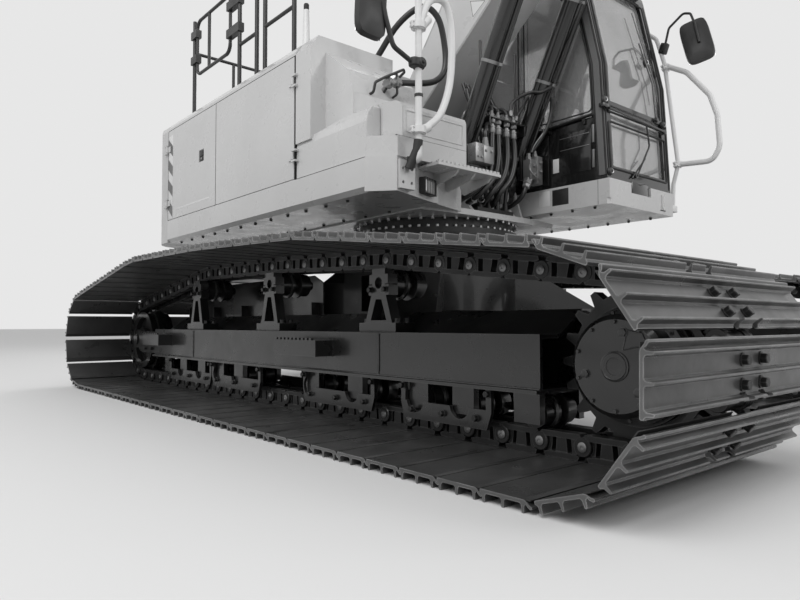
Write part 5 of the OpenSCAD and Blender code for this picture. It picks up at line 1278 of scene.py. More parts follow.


# rack of four couplings under the boom's foot: it hangs from the boom
steel, hoses, plate = bmesh.new(), bmesh.new(), bmesh.new()
x = valves["x"]
addBlock(plate, (x - 0.030, -0.192, 1.962), (x + 0.030, 0.192, 1.974), 0.002)
addBlock(plate, (x - 0.034, -0.192, 1.930), (x - 0.026, 0.192, 1.974), 0.002)
for y in (-0.186, 0.186):
    addBlock(plate, (x - 0.120, y - 0.006, 1.900), (x + 0.028, y + 0.006, 1.972), 0.002)
for k, y in enumerate(valves["couplings"]):
    lean = 0.004 * (k - 1.5)
    addTurned(steel, [(0.0165, 0), (0.019, 0.003), (0.019, 0.022), (0.016, 0.026), (0.0125, 0.028),
                      (0.0125, 0.046)], (x, y, 1.974), (0, 0, 1), 6)
    addCoupling(steel, x, y, 1.962, 1.25)
    addHose(hoses, [(x, y, 1.860), (x + 0.004, y + lean, 1.800), (x + 0.012, y - 0.010 + lean, 1.690),
                    (x + 0.010, y - 0.045, 1.570),
                               (x - 0.010, y - 0.125, 1.470), (x - 0.060, y - 0.185 + 0.02 * k, 1.415),
                               (x - 0.140, y - 0.175 + 0.03 * k, 1.395),
                               (x - 0.230, y - 0.105, 1.385), (x - 0.330, y - 0.05, 1.384)],
                               valves["hose"], 14)
    addHose(hoses, [(x, y, 2.016), (x - 0.010, y, 2.046), (x - 0.060, y + lean * 3, 2.075),
                    (x - 0.150, y * 0.9, 2.090), (x - 0.24, y * 0.8, 2.160),
                               (x - 0.30, y * 0.8, 2.300)], 0.0135, 12)
addTurned(steel, [(0.013, 0), (0.016, 0.003), (0.016, 0.040), (0.0135, 0.044)], (0.720, 0.060, 2.018),
          (0, 0.12, 1), 18)
addTurned(steel, [(0.016, 0), (0.016, 0.03), (0.013, 0.034)], (0.697, 0.142, 2.010), (0.05, 0.25, 1), 18)
# six hoses more, deeper in, from the low valve bank up to the boom
for k in range(6):
    y = -0.150 + 0.060 * k
    addHose(hoses, [(0.600, y * 0.9, 1.415), (0.606, y * 0.9, 1.480), (0.600 + 0.012 * (k % 2), y, 1.640),
                    (0.585, y + 0.012, 1.800),
                               (0.560, y * 1.05, 1.960), (0.520, y * 0.95, 2.110),
                               (0.470, y * 0.8, 2.240)], 0.015, 12)
makePiece("boomCouplings", steel, "boom", "steelGrey")
for y in (-0.186, 0.186):
    addRod(plate, (x - 0.060, y, 1.960), (x - 0.060, y, 2.520), 0.011, 16)
makePiece("boomHoseRack", plate, "boom", "framePaint")
makePiece("boomHoses", hoses,
          {"from": "house", "to": "boom", "start": spot(0.66, 0, 1.440), "end": spot(0.70, 0, 1.860)},
          "hoseCover")

# the hoses that leave the rack: one up along the left cylinder's tube, one to its valve, one to the right
# cylinder's valve; each is split beside the boom, where boom and cylinders pass each other
ramLine = Vector((1.2221, 0, 2.4648)).normalized()
ramSide = Vector((0.8959 * 0.45, 0.893, -0.4442 * 0.45)) * 0.086
alongRam = [Vector((0.460, 0.285, 1.500)) + ramLine * s + ramSide for s in (0.92, 1.05, 1.20, 1.35, 1.48)]
rackPaths = [
    (0.0125, smoothPath([(0.720, 0.062, 2.060), (0.716, 0.085, 2.125), (0.745, 0.140, 2.175),
                         (0.810, 0.190, 2.200), (0.863, 0.222, 2.193),
                         (0.917, 0.285, 2.233), (0.924, 0.331, 2.264)] + alongRam, 12)),
    (0.013, smoothPath([(0.700, 0.150, 2.040), (0.715, 0.196, 2.112), (0.730, 0.250, 2.196),
                        (0.790, 0.318, 2.222), (0.838, 0.362, 2.195),
                        (0.850, 0.364, 2.118), (0.838, 0.340, 1.989), (0.790, 0.300, 1.870),
                        (0.748, 0.272, 1.800)], 12)),
    (0.0135, smoothPath([(0.46, -0.09, 2.24), (0.50, -0.10, 2.05), (0.60, -0.12, 1.950),
                         (0.700, -0.16, 1.930), (0.740, -0.215, 1.900),
                         (0.758, -0.250, 1.840), (0.760, -0.252, 1.790)], 12)),
]
rackSide, tubeSide = bmesh.new(), bmesh.new()
for radius, path in rackPaths:
    crossing = next(k for k, place in enumerate(path) if abs(place.y) > 0.217)
    addPipe(rackSide, path[:crossing + 1], radius, 0, 14)
    addPipe(tubeSide, path[crossing:], radius, 0, 14)
makePiece("rackHoses", rackSide, "boom", "hoseCover")
makePiece("tubeHoses", tubeSide, "boom_ram_tubes", "hoseCover")

# each boom cylinder carries a valve block at its foot, so it swings with the tube
steel, plate = bmesh.new(), bmesh.new()
addBlock(steel, (0.722, -0.388, 1.616), (0.798, -0.308, 1.741), 0.003)
addBlock(steel, (0.724, -0.306, 1.616), (0.796, -0.206, 1.735), 0.003)
for y in (-0.362, -0.330, -0.285, -0.230):
    addNut(steel, (0.798, y, 1.650 if y < -0.3 else 1.700), (1, 0, 0), 0.009, 0.007)
addTurned(steel, [(0.024, 0), (0.027, 0.003), (0.027, 0.022), (0.022, 0.026), (0.022, 0.046),
                  (0.018, 0.050), (0.018, 0.066)], (0.760, -0.252, 1.735), (0, 0, 1), 6)
addBlock(plate, (0.700, -0.392, 1.600), (0.722, -0.206, 1.745), 0.003)
addBlock(plate, (0.626, -0.330, 1.640), (0.706, -0.240, 1.700), 0.003)
# the left one has two cartridges on top, solenoids, and a large fitting below
addBlock(steel, (0.700, 0.217, 1.590), (0.770, 0.307, 1.735), 0.004)
addBlock(steel, (0.692, 0.285, 1.560), (0.778, 0.347, 1.765), 0.004)
for y, z in ((0.240, 1.735), (0.311, 1.765)):
    addTurned(steel, [(0.017, 0), (0.020, 0.003), (0.020, 0.020), (0.015, 0.024), (0.015, 0.044),
                      (0.011, 0.048)], (0.735, y, z), (0, 0, 1), 6)
for z in (1.625, 1.690):
    addTurned(steel, [(0.012, 0), (0.015, 0.002), (0.015, 0.016), (0.010, 0.020)],
              (0.770, 0.255, z), (1, 0, 0), 6)
    addTurned(steel, [(0.011, 0), (0.014, 0.002), (0.014, 0.014), (0.009, 0.018)],
              (0.778, 0.317, z + 0.03), (1, 0, 0), 6)
addTurned(steel, [(0.030, 0), (0.034, 0.004), (0.034, 0.040), (0.028, 0.046), (0.028, 0.070),
                  (0.022, 0.076)], (0.735, 0.240, 1.590), (0, -0.5, -0.86), 6)
addHose(steel, [(0.775, 0.317, 1.600), (0.800, 0.285, 1.590), (0.805, 0.225, 1.600), (0.790, 0.190, 1.640),
                (0.770, 0.205, 1.680),
                           (0.768, 0.220, 1.690)], 0.006, 8)
addHose(steel, [(0.752, 0.255, 1.792), (0.770, 0.265, 1.840), (0.800, 0.295, 1.900), (0.812, 0.312, 1.930),
                (0.800, 0.325, 1.960),
                           (0.740, 0.330, 1.975)], 0.004, 8)
addBlock(plate, (0.672, 0.208, 1.590), (0.692, 0.3475, 1.770), 0.003)
addBlock(plate, (0.626, 0.240, 1.640), (0.680, 0.330, 1.700), 0.003)
makePiece("tubeValves", steel, "boom_ram_tubes", "steelGrey")
makePiece("tubeValvePlates", plate, "boom_ram_tubes", "cylinderPaint")
shape = bmesh.new()
addHose(shape, [(0.735, 0.202, 1.525), (0.725, 0.188, 1.480), (0.690, 0.180, 1.440), (0.620, 0.175, 1.405),
                (0.540, 0.160, 1.385)], 0.017, 14)
makePiece("drainHose", shape,
          {"from": "boom_ram_tubes", "to": "house", "start": spot(0.733, 0.20, 1.51),
           "end": spot(0.62, 0.175, 1.40)},
          "hoseCover")

# bright bands round the lowest hoses
wrap = bmesh.new()
for y in (-0.190, -0.120):
    addTurned(wrap, [(0.0200, 0), (0.0225, 0.002), (0.0225, 0.014), (0.0200, 0.016)],
              (0.655, y - 0.06, 1.408), (-0.7, 0.55, -0.2), 20, hollow=True)
makePiece("hoseBands", wrap, "house", "brightSteel")
print("stage: hydraulics")

# boom, dipper and their cylinders: the pins' places (x, z) from the slew axis
arm = {"foot": (-0.150, 2.120), "tip": (5.1856, 4.1253),
       "stickFoot": (2.5358, 4.6382), "stickEye": (5.5273, 4.7930),
       "ramFoot": (0.460, 1.500), "ramEye": (1.6821, 3.9648),
       "crowdFoot": (5.4760, 3.7062), "rockerFoot": (4.8766, 1.6445), "rockerEnd": (5.3696, 1.7277)}
# for each pin: the body it sits in, its half length, its head's radius and its keeper's reach
pinCaps = {"foot": ("boom", 0.2415, 0.048, 0.105), "tip": ("boom", 0.2185, 0.043, 0.092),
           "stickFoot": ("boom", 0.1125, 0.038, 0.082),
           "crowdFoot": ("dipper", 0.1025, 0.033, 0.068), "rockerFoot": ("dipper", 0.1855, 0.038, 0.068)}
rams = {
    "boomRam": dict(foot="ramFoot", eye="ramEye", middles=(-0.285, 0.285), radius=0.068, length=1.640,
                    lineSide=-1, body="boom_ram_tubes", rod=0.042),
    "dipperRam": dict(foot="stickFoot", eye="stickEye", middles=(0.0,), radius=0.072, length=1.750,
                      lineSide=1, body="dipper_ram_tube", rod=0.042),
    "bucketRam": dict(foot="crowdFoot", eye="rockerEnd", middles=(0.0,), radius=0.062, length=1.560,
                      lineSide=1, body="bucket_ram_tube", rod=0.036),
}


def addPinCap(shape, at, y, side, radius, plateRadius):
    # head of a pin with its keeper plate and two bolts
    x, z = at
    addTurned(shape, [(radius, 0), (radius, 0.010), (radius * 0.86, 0.014), (radius * 0.30, 0.014),
                      (radius * 0.24, 0.010), (0, 0.010)], (x, y, z), (0, side, 0), 32)
    low, high = sorted((y, y + side * 0.008))
    addBlock(shape, (x + radius * 0.75, low, z - 0.020), (x + plateRadius, high, z + 0.020), 0.002)
    for dz in (-0.010, 0.010):
        addNut(shape, (x + plateRadius - 0.014, y + side * 0.008, z + dz), (0, side, 0), 0.0075, 0.007)


for body in ("boom", "dipper"):
    shape = bmesh.new()
    for side in (-1, 1):
        for pin, (holder, y, radius, reach) in pinCaps.items():
            if holder == body:
                addPinCap(shape, arm[pin], side * y, side, radius, reach)
    makePiece(body + "PinCaps", shape, body, "steelGrey")


def surfaceOf(node):
    # finds places on a node of the frame, in metres from the slew axis
    mesh = frame["nodes"][node].data
    tree = BVHTree.FromPolygons([v.co for v in mesh.vertices], [p.vertices for p in mesh.polygons])

    def land(place, towards):
        hit = tree.ray_cast(Vector(place) + Vector((slewX, 0, 0)), Vector(towards))[0]
        return None if hit is None else hit - Vector((slewX, 0, 0))
    return land


onBoom, onDipper = surfaceOf("boom"), surfaceOf("dipper")
pipes, clamps = bmesh.new(), bmesh.new()
boomPipes = {"places": (-0.168, -0.136, 0.136, 0.168), "radius": 0.0115, "rear": 0.35, "front": 4.35,
             "clampEvery": 0.62}
for y in boomPipes["places"]:
    path, x = [], boomPipes["rear"]
    while x < boomPipes["front"]:
        top = onBoom((x, y, 6.5), (0, 0, -1))
        if top is not None:
            path.append(top + Vector((0, 0, 0.019)))
        x += 0.16
    addPipe(pipes, path, boomPipes["radius"], 0, 12)
for side in (-1, 1):
    x = boomPipes["rear"] + 0.12
    while x < boomPipes["front"] - 0.1:
        top = onBoom((x, side * 0.152, 6.5), (0, 0, -1))
        ahead = onBoom((x + 0.05, side * 0.152, 6.5), (0, 0, -1))
        if top is not None and ahead is not None:
            turn = Matrix.Rotation(-math.atan2(ahead.z - top.z, 0.05), 3, "Y")
            middle = top + turn @ Vector((0, 0, 0.016))
            addBlock(clamps, middle + Vector((-0.022, -0.036, -0.0155)),
                     middle + Vector((0.022, 0.036, 0.0175)), 0.004, turn)
            for dx in (-0.011, 0.011):
                addNut(clamps, middle + turn @ Vector((dx, 0, 0.0175)),
                       turn @ Vector((0, 0, 1)), 0.007, 0.006)
        x += boomPipes["clampEvery"]
makePiece("boomPipes", pipes, "boom", "cylinderPaint")
makePiece("boomPipeClamps", clamps, "boom", "armPaint")

# weld seams along the lower and upper edges of the boom's side plates, and down the dipper
beads = bmesh.new()
for side in (-1, 1):
    for start, towards, first, last in ((6.5, -1, 0.10, 4.9), (1.0, 1, 0.10, 4.9)):
        path, x = [], first
        while x < last:
            hit = onBoom((x, side * 0.196, start), (0, 0, towards))
            if hit is not None:
                path.append(Vector((x, side * 0.2005, hit.z + towards * 0.014)))
            x += 0.11
        addPipe(beads, path, 0.0042, 0, 6)
for side in (-1, 1):
    # a ring of weld round the boss of the cylinder eye
    x, z = arm["ramEye"]
    addTurned(beads, [(0.074, 0), (0.082, 0.002), (0.080, 0.007), (0.074, 0.009)], (x, side * 0.2005, z),
              (0, side, 0), 40, hollow=True)
makePiece("boomWelds", beads, "boom", "armPaint")
beads = bmesh.new()
for side in (-1, 1):
    for towards in (-1, 1):
        path, z = [], 4.35
        while z > 1.75:
            hit = onDipper((5.15 - towards * 1.5, side * 0.140, z), (towards, 0, 0))
            if hit is not None:
                path.append(Vector((hit.x + towards * 0.012, side * 0.1445, z)))
            z -= 0.12
        addPipe(beads, path, 0.0042, 0, 6)
makePiece("dipperWelds", beads, "dipper", "armPaint")

label, rim = bmesh.new(), bmesh.new()
addPlate(label, [(0.577, 2.835), (0.605, 2.688), (0.736, 2.773)], -0.2016, -0.2006)
addRim(rim, [(0.583, -0.2016, 2.823), (0.606, -0.2016, 2.702), (0.722, -0.2016, 2.774)], 0.0016)
makePiece("boomLabel", label, "boom", "labelWhite")
makePiece("boomLabelRim", rim, "boom", "labelBlack")


def dressCylinder(name, ram):
    # gland with its bolts, weld ring, and the hard line with its bands and port blocks
    paint, steel = bmesh.new(), bmesh.new()
    radius, length, rod = ram["radius"], ram["length"], ram["rod"]
    (footX, footZ), (eyeX, eyeZ) = arm[ram["foot"]], arm[ram["eye"]]
    line, lowPort, highPort = radius + 0.024, 0.19, length - 0.11
    for y in ram["middles"]:
        start = Vector((footX, y, footZ))
        axis = (Vector((eyeX, y, eyeZ)) - start).normalized()
        across = Vector((-axis.z, 0, axis.x)) * ram["lineSide"]
        out = axis.cross(across)

        def along(distance, off=0.0):
            # a place on the tube's axis, or off it on the hard line's side
            return start + axis * distance + across * off

        addTurned(paint, [(radius - 0.002, 0), (radius + 0.009, 0.004), (radius + 0.009, 0.062),
                          (radius + 0.004, 0.068), (radius * 0.84, 0.0685), (rod + 0.004, 0.0685),
                          (rod + 0.004, 0.01)], along(length - 0.064), axis, 40, hollow=True)
        addTurned(paint, [(radius - 0.001, 0), (radius + 0.004, 0.003), (radius + 0.004, 0.008),
                          (radius - 0.001, 0.011)], along(0.135), axis, 40, hollow=True)
        for k in range(8):
            turn = math.radians(45 * k + 22)
            outwards = across * math.cos(turn) + out * math.sin(turn)
            addNut(steel, along(length - 0.032) + outwards * (radius + 0.0085), outwards, 0.0075, 0.004)
        for port in (lowPort, highPort):
            addBox(paint, (0.042, 0.032, 0.034), along(port, radius + 0.010),
                   Matrix((axis, out, across)).transposed(), 0.004)
        addPipe(paint, [along(lowPort, line), along(highPort, line)], 0.009, 0, 12)
        band = [(radius + 0.0005, 0), (radius + 0.003, 0.001), (radius + 0.003, 0.021),
                (radius + 0.0005, 0.022)]
        for k in range(3):
            at = 0.30 + (length - 0.52) * k / 2
            addTurned(steel, band, along(at), axis, 36, hollow=True)
            addPipe(steel, [along(at + 0.002, line), along(at + 0.020, line)], 0.012, 0, 12)
            addNut(steel, along(at + 0.011, radius + 0.006) + out * 0.020, across, 0.006, 0.012)
    makePiece(name + "Dress", paint, ram["body"], "cylinderPaint")
    makePiece(name + "Bands", steel, ram["body"], "steelGrey")


for name, ram in rams.items():
    dressCylinder(name, ram)
# caps on the ends of the boom cylinders' pins
shape = bmesh.new()
for side in (-1, 1):
    x, z = arm["ramFoot"]
    addTurned(shape, [(0.046, 0), (0.046, 0.008), (0.040, 0.012), (0.012, 0.012), (0.010, 0.008),
                      (0, 0.008)], (x, side * 0.3605, z), (0, side, 0), 28)
makePiece("ramFootCaps", shape, "house", "steelGrey")
print("stage: boom and cylinders")

# bucket: weld seams along its underside
bucketShape = bmesh.new()
onBucket = surfaceOf("bucket")
low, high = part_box("bucket")
for y in (-0.36, -0.12, 0.12, 0.36):
    path, x = [], low[0] - slewX + 0.10
    while x < high[0] - slewX - 0.20:
        hit = onBucket((x, y, -0.5), (0, 0, 1))
        if hit is not None and hit.z < 0.75:
            path.append(hit + Vector((0, 0, -0.002)))
        x += 0.06
    if len(path) > 2:
        addPipe(bucketShape, path, 0.0055, 0, 8)
makePiece("bucketSeams", bucketShape, "bucket", "bucketSteel")
print("stage: bucket")

# cab: trims, seals, wiper, latches and what shows inside
cab = {"side": 0.400, "otherSide": 1.275, "middle": 0.8375,
       "nose": 1.275, "chin": 1.535, "knee": 2.350, "lowerLean": 0.05, "upperLean": 0.17}


def cabFront(z):
    # the front leans back from its chin, and more above the knee
    above = max(0.0, z - cab["knee"])
    return cab["nose"] - cab["lowerLean"] * (z - cab["chin"]) - cab["upperLean"] * above


trim, seal = bmesh.new(), bmesh.new()
steps = [1.56, 1.75, 1.95, 2.15, 2.35, 2.50, 2.70, 2.90, 3.05]
for y, side in ((cab["side"], -1), (cab["otherSide"], 1)):
    outline = [(cabFront(z) - 0.060, z) for z in steps] + [(cabFront(z) - 0.012, z) for z in reversed(steps)]
    inner, outer = sorted((y + side * 0.0005, y + side * 0.0045))
    addPlate(trim, outline, inner, outer, 0.001)
    # rubber edge on both sides of the trim
    for inset in (0.066, 0.006):
        addPipe(seal, [(cabFront(z) - inset, y + side * 0.002, z) for z in steps], 0.004, 0, 8)
for y in (0.424, 1.251):
    addPipe(seal, [(cabFront(z) + 0.0015, y, z) for z in steps], 0.0045, 0, 8)
for z0, z1 in ((1.612, 1.940), (2.010, 3.035)):
    rise = [z0] + [z for z in (2.35, 2.70) if z0 < z < z1] + [z1]
    corners = [(0.452, z0)] + [(1.223, z) for z in rise] + [(0.452, z) for z in reversed(rise)]
    addPipe(seal, [(cabFront(z) + 0.001, y, z) for y, z in corners], 0.0075, 0.02, 8, 4)
# edges of the windows on the boom's side
for x0, x1, z0, z1 in ((-0.200, 0.520, 2.020, 3.040), (0.575, 1.165, 2.020, 3.040)):
    top = min(x1, cabFront(z1) - 0.085)
    addPipe(seal, [(x0, 0.3975, z0), (x1, 0.3975, z0), (min(x1, cabFront(2.35) - 0.085), 0.3975, 2.35),
                   (top, 0.3975, z1), (x0, 0.3975, z1), (x0, 0.3975, z0)], 0.0055, 0.04, 8, 5)
makePiece("cabTrims", trim, "house", "trimGrey")
makePiece("cabSeals", seal, "house", "rubber")

bar, steel, knob = bmesh.new(), bmesh.new(), bmesh.new()
# bar between the two front windows, with its bracket on the right pillar
addPipe(bar, [(cabFront(2.02) + 0.022, 0.436, 2.022), (cabFront(2.0) + 0.024, 0.700, 2.014),
              (cabFront(2.0) + 0.022, 1.200, 2.002)], 0.008, 0, 12)
addBlock(bar, (cabFront(2.04) - 0.020, 0.372, 2.022), (cabFront(2.04) + 0.022, 0.440, 2.052), 0.006)
addBlock(bar, (cabFront(2.0) - 0.004, 1.190, 1.985), (cabFront(2.0) + 0.026, 1.212, 2.020), 0.004)
# wiper of the upper window
addPipe(bar, [(cabFront(2.10) + 0.010, 1.10, 2.075), (cabFront(2.35) + 0.020, 1.06, 2.350),
              (cabFront(2.66) + 0.018, 1.00, 2.660)], 0.006, 0.02, 8)
addPipe(bar, [(cabFront(2.22) + 0.010, 1.14, 2.220), (cabFront(2.35) + 0.012, 1.115, 2.350),
              (cabFront(2.92) + 0.010, 1.02, 2.920)], 0.005, 0.02, 8)
addTurned(bar, [(0.020, 0), (0.020, 0.020), (0.014, 0.028), (0, 0.028)],
          (cabFront(2.075) - 0.002, 1.10, 2.075), (1, 0, 0.05), 20)
# wiper of the lower window, and its motor in the notch of the deck
addPipe(bar, [(cabFront(2.0) + 0.012, 0.951, 1.997), (cabFront(1.85) + 0.018, 0.961, 1.849),
              (cabFront(1.6) + 0.020, 0.758, 1.596)], 0.0065, 0.03, 10)
addPipe(bar, [(cabFront(1.72) + 0.008, 0.905, 1.745), (cabFront(1.58) + 0.010, 0.70, 1.575)], 0.006, 0, 8)
addBlock(bar, (1.205, 0.700, 1.440), (1.285, 0.930, 1.556), 0.012)
addTurned(bar, [(0.040, 0), (0.044, 0.006), (0.044, 0.080), (0.036, 0.090), (0, 0.090)],
          (1.235, 0.770, 1.500), (0, -1, 0), 28)
addTurned(bar, [(0.015, 0), (0.018, 0.004), (0.018, 0.022), (0, 0.026)],
          (cabFront(1.60) - 0.004, 0.758, 1.600), (1, 0, 0), 16)
makePiece("cabBarsAndWipers", bar, "house", "cabPaint")
# round latches on the pillars: a dark boss with a bright ring
for x, y, z, side in ((cabFront(2.08) - 0.004, 0.412, 2.080, 1), (cabFront(1.584) - 0.004, 0.435, 1.584, 1),
                      (cabFront(2.52) - 0.002, 1.060, 2.520, 1),
                      (cabFront(2.06) - 0.002, 1.210, 2.060, 1)):
    addTurned(knob, [(0.026, 0), (0.028, 0.004), (0.024, 0.018), (0.014, 0.022), (0, 0.022)],
              (x, y, z), (1, 0, 0), 24)
    addBlock(knob, (x - 0.002, y - 0.012, z - 0.034), (x + 0.008, y + 0.012, z + 0.006), 0.003)
    addPipe(steel, [(x + 0.020 + 0.004 * math.cos(0.4 * k), y + 0.014 * math.cos(math.pi * k / 8),
                     z + 0.014 * math.sin(math.pi * k / 8)) for k in range(17)], 0.0028, 0, 8)
makePiece("pillarLatches", knob, "house", "moulding")
makePiece("latchRings", steel, "house", "brightSteel")

# lower right panel of the cab: raised field, bright bars and the sill rail
panel, bright = bmesh.new(), bmesh.new()
addBlock(panel, (0.885, 0.3965, 1.612), (1.150, 0.3998, 1.905), 0.002)
addBlock(panel, (-0.235, 0.3965, 1.560), (0.795, 0.3998, 1.945), 0.002)
addPipe(panel, [(0.30, 0.386, 1.952), (0.70, 0.384, 1.968), (1.165, 0.386, 1.990)], 0.0105, 0, 12)
for x in (0.42, 0.80, 1.10):
    addBlock(panel, (x - 0.012, 0.384, 1.940), (x + 0.012, 0.3995, 1.962 + 0.03 * (x > 0.7)), 0.002)
for z in (1.875, 1.790):
    addBlock(bright, (0.895, 0.3952, z), (1.140, 0.3966, z + 0.0035), 0.0005)
for z0, z1 in ((1.625, 1.750), (1.800, 1.925)):
    addBlock(bright, (1.160, 0.3955, z0), (1.178, 0.3990, z1), 0.001)
makePiece("cabLowerPanels", panel, "house", "cabPaint")
makePiece("cabPanelBars", bright, "house", "steelGrey")

# roof: hatch with its handle, and a drip rail on each side
roof = bmesh.new()
addBlock(roof, (0.150, 0.560, 3.1985), (0.760, 1.115, 3.2120), 0.006)
addPipe(roof, [(0.420, 0.60, 3.210), (0.420, 0.60, 3.232), (0.520, 0.60, 3.232),
               (0.520, 0.60, 3.210)], 0.005, 0.01, 8)
addPipe(roof, [(-0.225, 0.410, 3.186), (0.86, 0.410, 3.186)], 0.006, 0, 8)
addPipe(roof, [(-0.225, 1.265, 3.186), (0.86, 1.265, 3.186)], 0.006, 0, 8)
makePiece("cabRoofTrim", roof, "house", "cabPaint")

# inside: screen, levers with their boots, pedals, arm pads
inside, boots, screen = bmesh.new(), bmesh.new(), bmesh.new()
screenLean = Matrix.Rotation(-0.25, 3, "Y")
addBlock(inside, (0.985, 0.482, 2.290), (1.035, 0.572, 2.500), 0.008, screenLean)
addBlock(screen, (0.975, 0.488, 2.300), (0.988, 0.566, 2.490), 0.003, screenLean)
addPipe(inside, [(1.010, 0.500, 2.300), (1.020, 0.470, 2.200), (1.060, 0.452, 2.060)], 0.012, 0.03, 10)
for side in (-1, 1):
    y = cab["middle"] + side * 0.310
    addPipe(inside, [(0.590, y, 2.150), (0.605, y, 2.235), (0.595, y - side * 0.01, 2.270)], 0.009, 0.02, 12)
    addTurned(inside, [(0.014, 0), (0.020, 0.012), (0.024, 0.050), (0.022, 0.085), (0.027, 0.105),
                       (0.022, 0.125), (0.008, 0.132), (0, 0.132)], (0.597, y, 2.262),
                       (-0.10, -side * 0.08, 1), 20)
    addTurned(boots, [(0.050, 0), (0.052, 0.006), (0.044, 0.012), (0.046, 0.020), (0.036, 0.026),
                      (0.038, 0.034), (0.026, 0.042), (0.018, 0.060), (0, 0.060)],
                      (0.590, y, 2.152), (0, 0, 1), 24)
    addBlock(inside, (0.180, y - 0.045, 2.150), (0.500, y + 0.045, 2.200), 0.018, None, 3)
    for k in range(4):
        addTurned(boots, [(0.012, 0), (0.014, 0.002), (0.013, 0.012), (0.010, 0.014), (0, 0.014)],
                  (0.535 - 0.001 * k, y - 0.045 + 0.030 * k, 2.153), (0, 0, 1), 16)
    # travel lever and its pedal
    y = cab["middle"] + side * 0.095
    addPipe(inside, [(0.905, y, 1.640), (0.925, y, 1.800), (0.900, y, 2.120), (0.890, y, 2.170)],
            0.010, 0.05, 12)
    addTurned(boots, [(0.014, 0), (0.019, 0.010), (0.019, 0.080), (0.015, 0.095), (0, 0.096)],
              (0.892, y, 2.150), (-0.1, 0, 1), 18)
    addBlock(boots, (0.860, y - 0.055, 1.650), (1.040, y + 0.055, 1.668), 0.005,
             Matrix.Rotation(-0.35, 3, "Y"))
    addTurned(boots, [(0.050, 0), (0.052, 0.006), (0.040, 0.016), (0.030, 0.036), (0.020, 0.050),
                      (0, 0.050)], (0.906, y, 1.597), (0, 0, 1), 20)
for k in range(3):
    addTurned(boots, [(0.016, 0), (0.016, 0.010), (0.012, 0.014), (0, 0.014)],
              (1.000 + 0.05 * k, 0.444, 1.945), (0, 0, 1), 16)
makePiece("cabControls", inside, "house", "moulding")
makePiece("cabBoots", boots, "house", "rubber")
makePiece("cabScreen", screen, "house", "screenFace")

# floor mat with its ribs
mat = bmesh.new()
addBlock(mat, (0.620, 0.470, 1.5955), (1.150, 1.205, 1.6030), 0.002)
for k in range(22):
    addBlock(mat, (0.640 + 0.023 * k, 0.490, 1.6025), (0.650 + 0.023 * k, 1.185, 1.6060))
makePiece("floorMat", mat, "house", "rubber")

# door: pull handle and lock
shape = bmesh.new()
addPipe(shape, [(1.020, 1.277, 2.020), (1.020, 1.320, 2.035), (1.010, 1.320, 2.170), (1.010, 1.277, 2.185)],
        0.008, 0.03, 12)
addBlock(shape, (0.975, 1.275, 1.930), (1.065, 1.284, 1.995), 0.004)
addTurned(shape, [(0.010, 0), (0.010, 0.004), (0.007, 0.005), (0, 0.005)],
          (1.045, 1.284, 1.962), (0, 1, 0), 16)
makePiece("cabDoorHandle", shape, "cab_door", "moulding")
print("stage: cab")

# driver's seat: padded cushion, back and headrest on a base with bellows
seat = {"cushion": ((0.105, -0.240, 1.900), (0.592, 0.240, 2.020)), "cap": 0.012, "voxel": 0.008,
        "pressure": 4.0, "channelY": 0.150}


def padShape(low, high, rounding, lean=None):
    part = bmesh.new()
    bmesh.ops.create_cube(part, size=1.0)
    low, high = Vector(low), Vector(high)
    bmesh.ops.scale(part, vec=high - low, verts=part.verts)
    bmesh.ops.bevel(part, geom=part.edges[:], offset=rounding, segments=4, profile=0.6, affect="EDGES",
                    clamp_overlap=True)
    bmesh.ops.translate(part, vec=(low + high) / 2, verts=part.verts)
    if lean:
        bmesh.ops.transform(part, matrix=lean, verts=part.verts)
    bmesh.ops.translate(part, vec=(slewX, cab["middle"], 0), verts=part.verts)
    return part


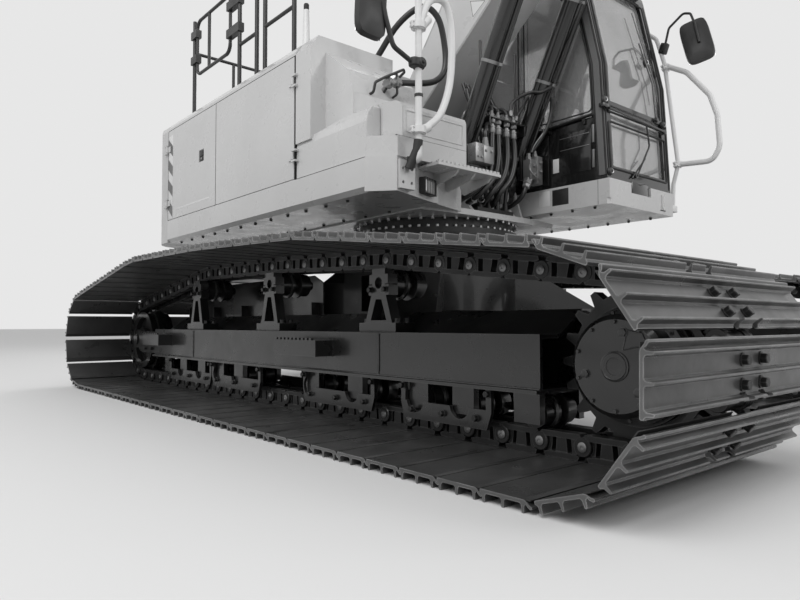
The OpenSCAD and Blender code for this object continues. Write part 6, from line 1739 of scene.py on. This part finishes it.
def padPiece(name, part, channel):
    # cloth is blown up a little round the pad, capped, then its sewn channels are pressed in
    mesh = bpy.data.meshes.new(name)
    part.to_mesh(mesh)
    part.free()
    pad = bpy.data.objects.new(name, mesh)
    scene.collection.objects.link(pad)
    grid = pad.modifiers.new("grid", "REMESH")
    grid.mode, grid.voxel_size = "VOXEL", seat["voxel"]
    graph = bpy.context.evaluated_depsgraph_get()
    mesh = bpy.data.meshes.new_from_object(pad.evaluated_get(graph), depsgraph=graph)
    pad.modifiers.clear()
    pad.data = mesh
    before = [v.co.copy() for v in mesh.vertices]
    cloth = pad.modifiers.new("cloth", "CLOTH")
    cloth.settings.quality = 4
    cloth.settings.use_pressure = True
    cloth.settings.uniform_pressure_force = seat["pressure"]
    cloth.settings.effector_weights.gravity = 0
    cloth.settings.mass = 0.3
    for number in range(1, 21):
        scene.frame_set(number)
    graph = bpy.context.evaluated_depsgraph_get()
    swollen = bpy.data.meshes.new_from_object(pad.evaluated_get(graph), depsgraph=graph)
    after = [v.co.copy() for v in swollen.vertices]
    pad.modifiers.clear()
    scene.frame_set(1)
    for vertex, old, new in zip(mesh.vertices, before, after):
        move = new - old
        if move.length > seat["cap"]:
            move = move.normalized() * seat["cap"]
        vertex.co = old + move
    bpy.data.meshes.remove(swollen)
    mesh.update()
    normals = [v.normal.copy() for v in mesh.vertices]
    for vertex, normal in zip(mesh.vertices, normals):
        vertex.co -= normal * channel(vertex.co - Vector((slewX, cab["middle"], 0)))
    finer = pad.modifiers.new("finer", "SUBSURF")
    finer.levels = finer.render_levels = 1
    graph = bpy.context.evaluated_depsgraph_get()
    mesh = bpy.data.meshes.new_from_object(pad.evaluated_get(graph), depsgraph=graph)
    pad.modifiers.clear()
    pad.data = mesh
    for face in mesh.polygons:
        face.use_smooth = True
    mesh.materials.clear()
    mesh.materials.append(finish("seatCloth"))
    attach(pad, "house")
    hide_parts("seat")
    return pad


def groove(value, at, width=0.006, deep=0.007):
    return deep * math.exp(-((value - at) / width) ** 2)


def channels(across, along, lines):
    # a long channel near each side of the pad, and cross channels between them
    crossing = sum(groove(along, line) for line in lines) * (abs(across) < seat["channelY"])
    return groove(abs(across), seat["channelY"]) + crossing


padPiece("seatCushion", padShape(*seat["cushion"], 0.045), lambda p: channels(p.y, p.x, (0.24, 0.36, 0.48)))
backLean = Matrix.Translation((0.110, 0, 2.040)) @ Matrix.Rotation(math.radians(-8), 4, "Y")
padPiece("seatBack", padShape((-0.045, -0.232, 0.010), (0.060, 0.232, 0.590), 0.040, backLean),
         lambda p: channels(p.y, p.z, (2.20, 2.34, 2.48)))
padPiece("seatHeadrest", padShape((-0.035, -0.122, 0.625), (0.045, 0.122, 0.780), 0.032, backLean),
         lambda p: groove(abs(p.y), 0.085) * 0.6)
shape = bmesh.new()
addBlock(shape, (0.170, cab["middle"] - 0.165, 1.600), (0.490, cab["middle"] + 0.165, 1.640), 0.008)
for k in range(7):
    inset = 0.012 * (k % 2)
    addBlock(shape, (0.180 + inset, cab["middle"] - 0.155 + inset, 1.640 + 0.030 * k),
             (0.480 - inset, cab["middle"] + 0.155 - inset, 1.668 + 0.030 * k), 0.008)
addBlock(shape, (0.140, cab["middle"] - 0.190, 1.850), (0.540, cab["middle"] + 0.190, 1.888), 0.010)
for side in (-1, 1):
    addPipe(shape, [(0.060, cab["middle"] + side * 0.060, 2.600),
                    (0.040, cab["middle"] + side * 0.060, 2.700)], 0.007, 0, 10)
bmesh.ops.recalc_face_normals(shape, faces=shape.faces)
makePiece("seatBase", shape, "house", "moulding", replaced=("seat",))
print("stage: seat")

for unit in patterns:
    bpy.data.objects.remove(unit)
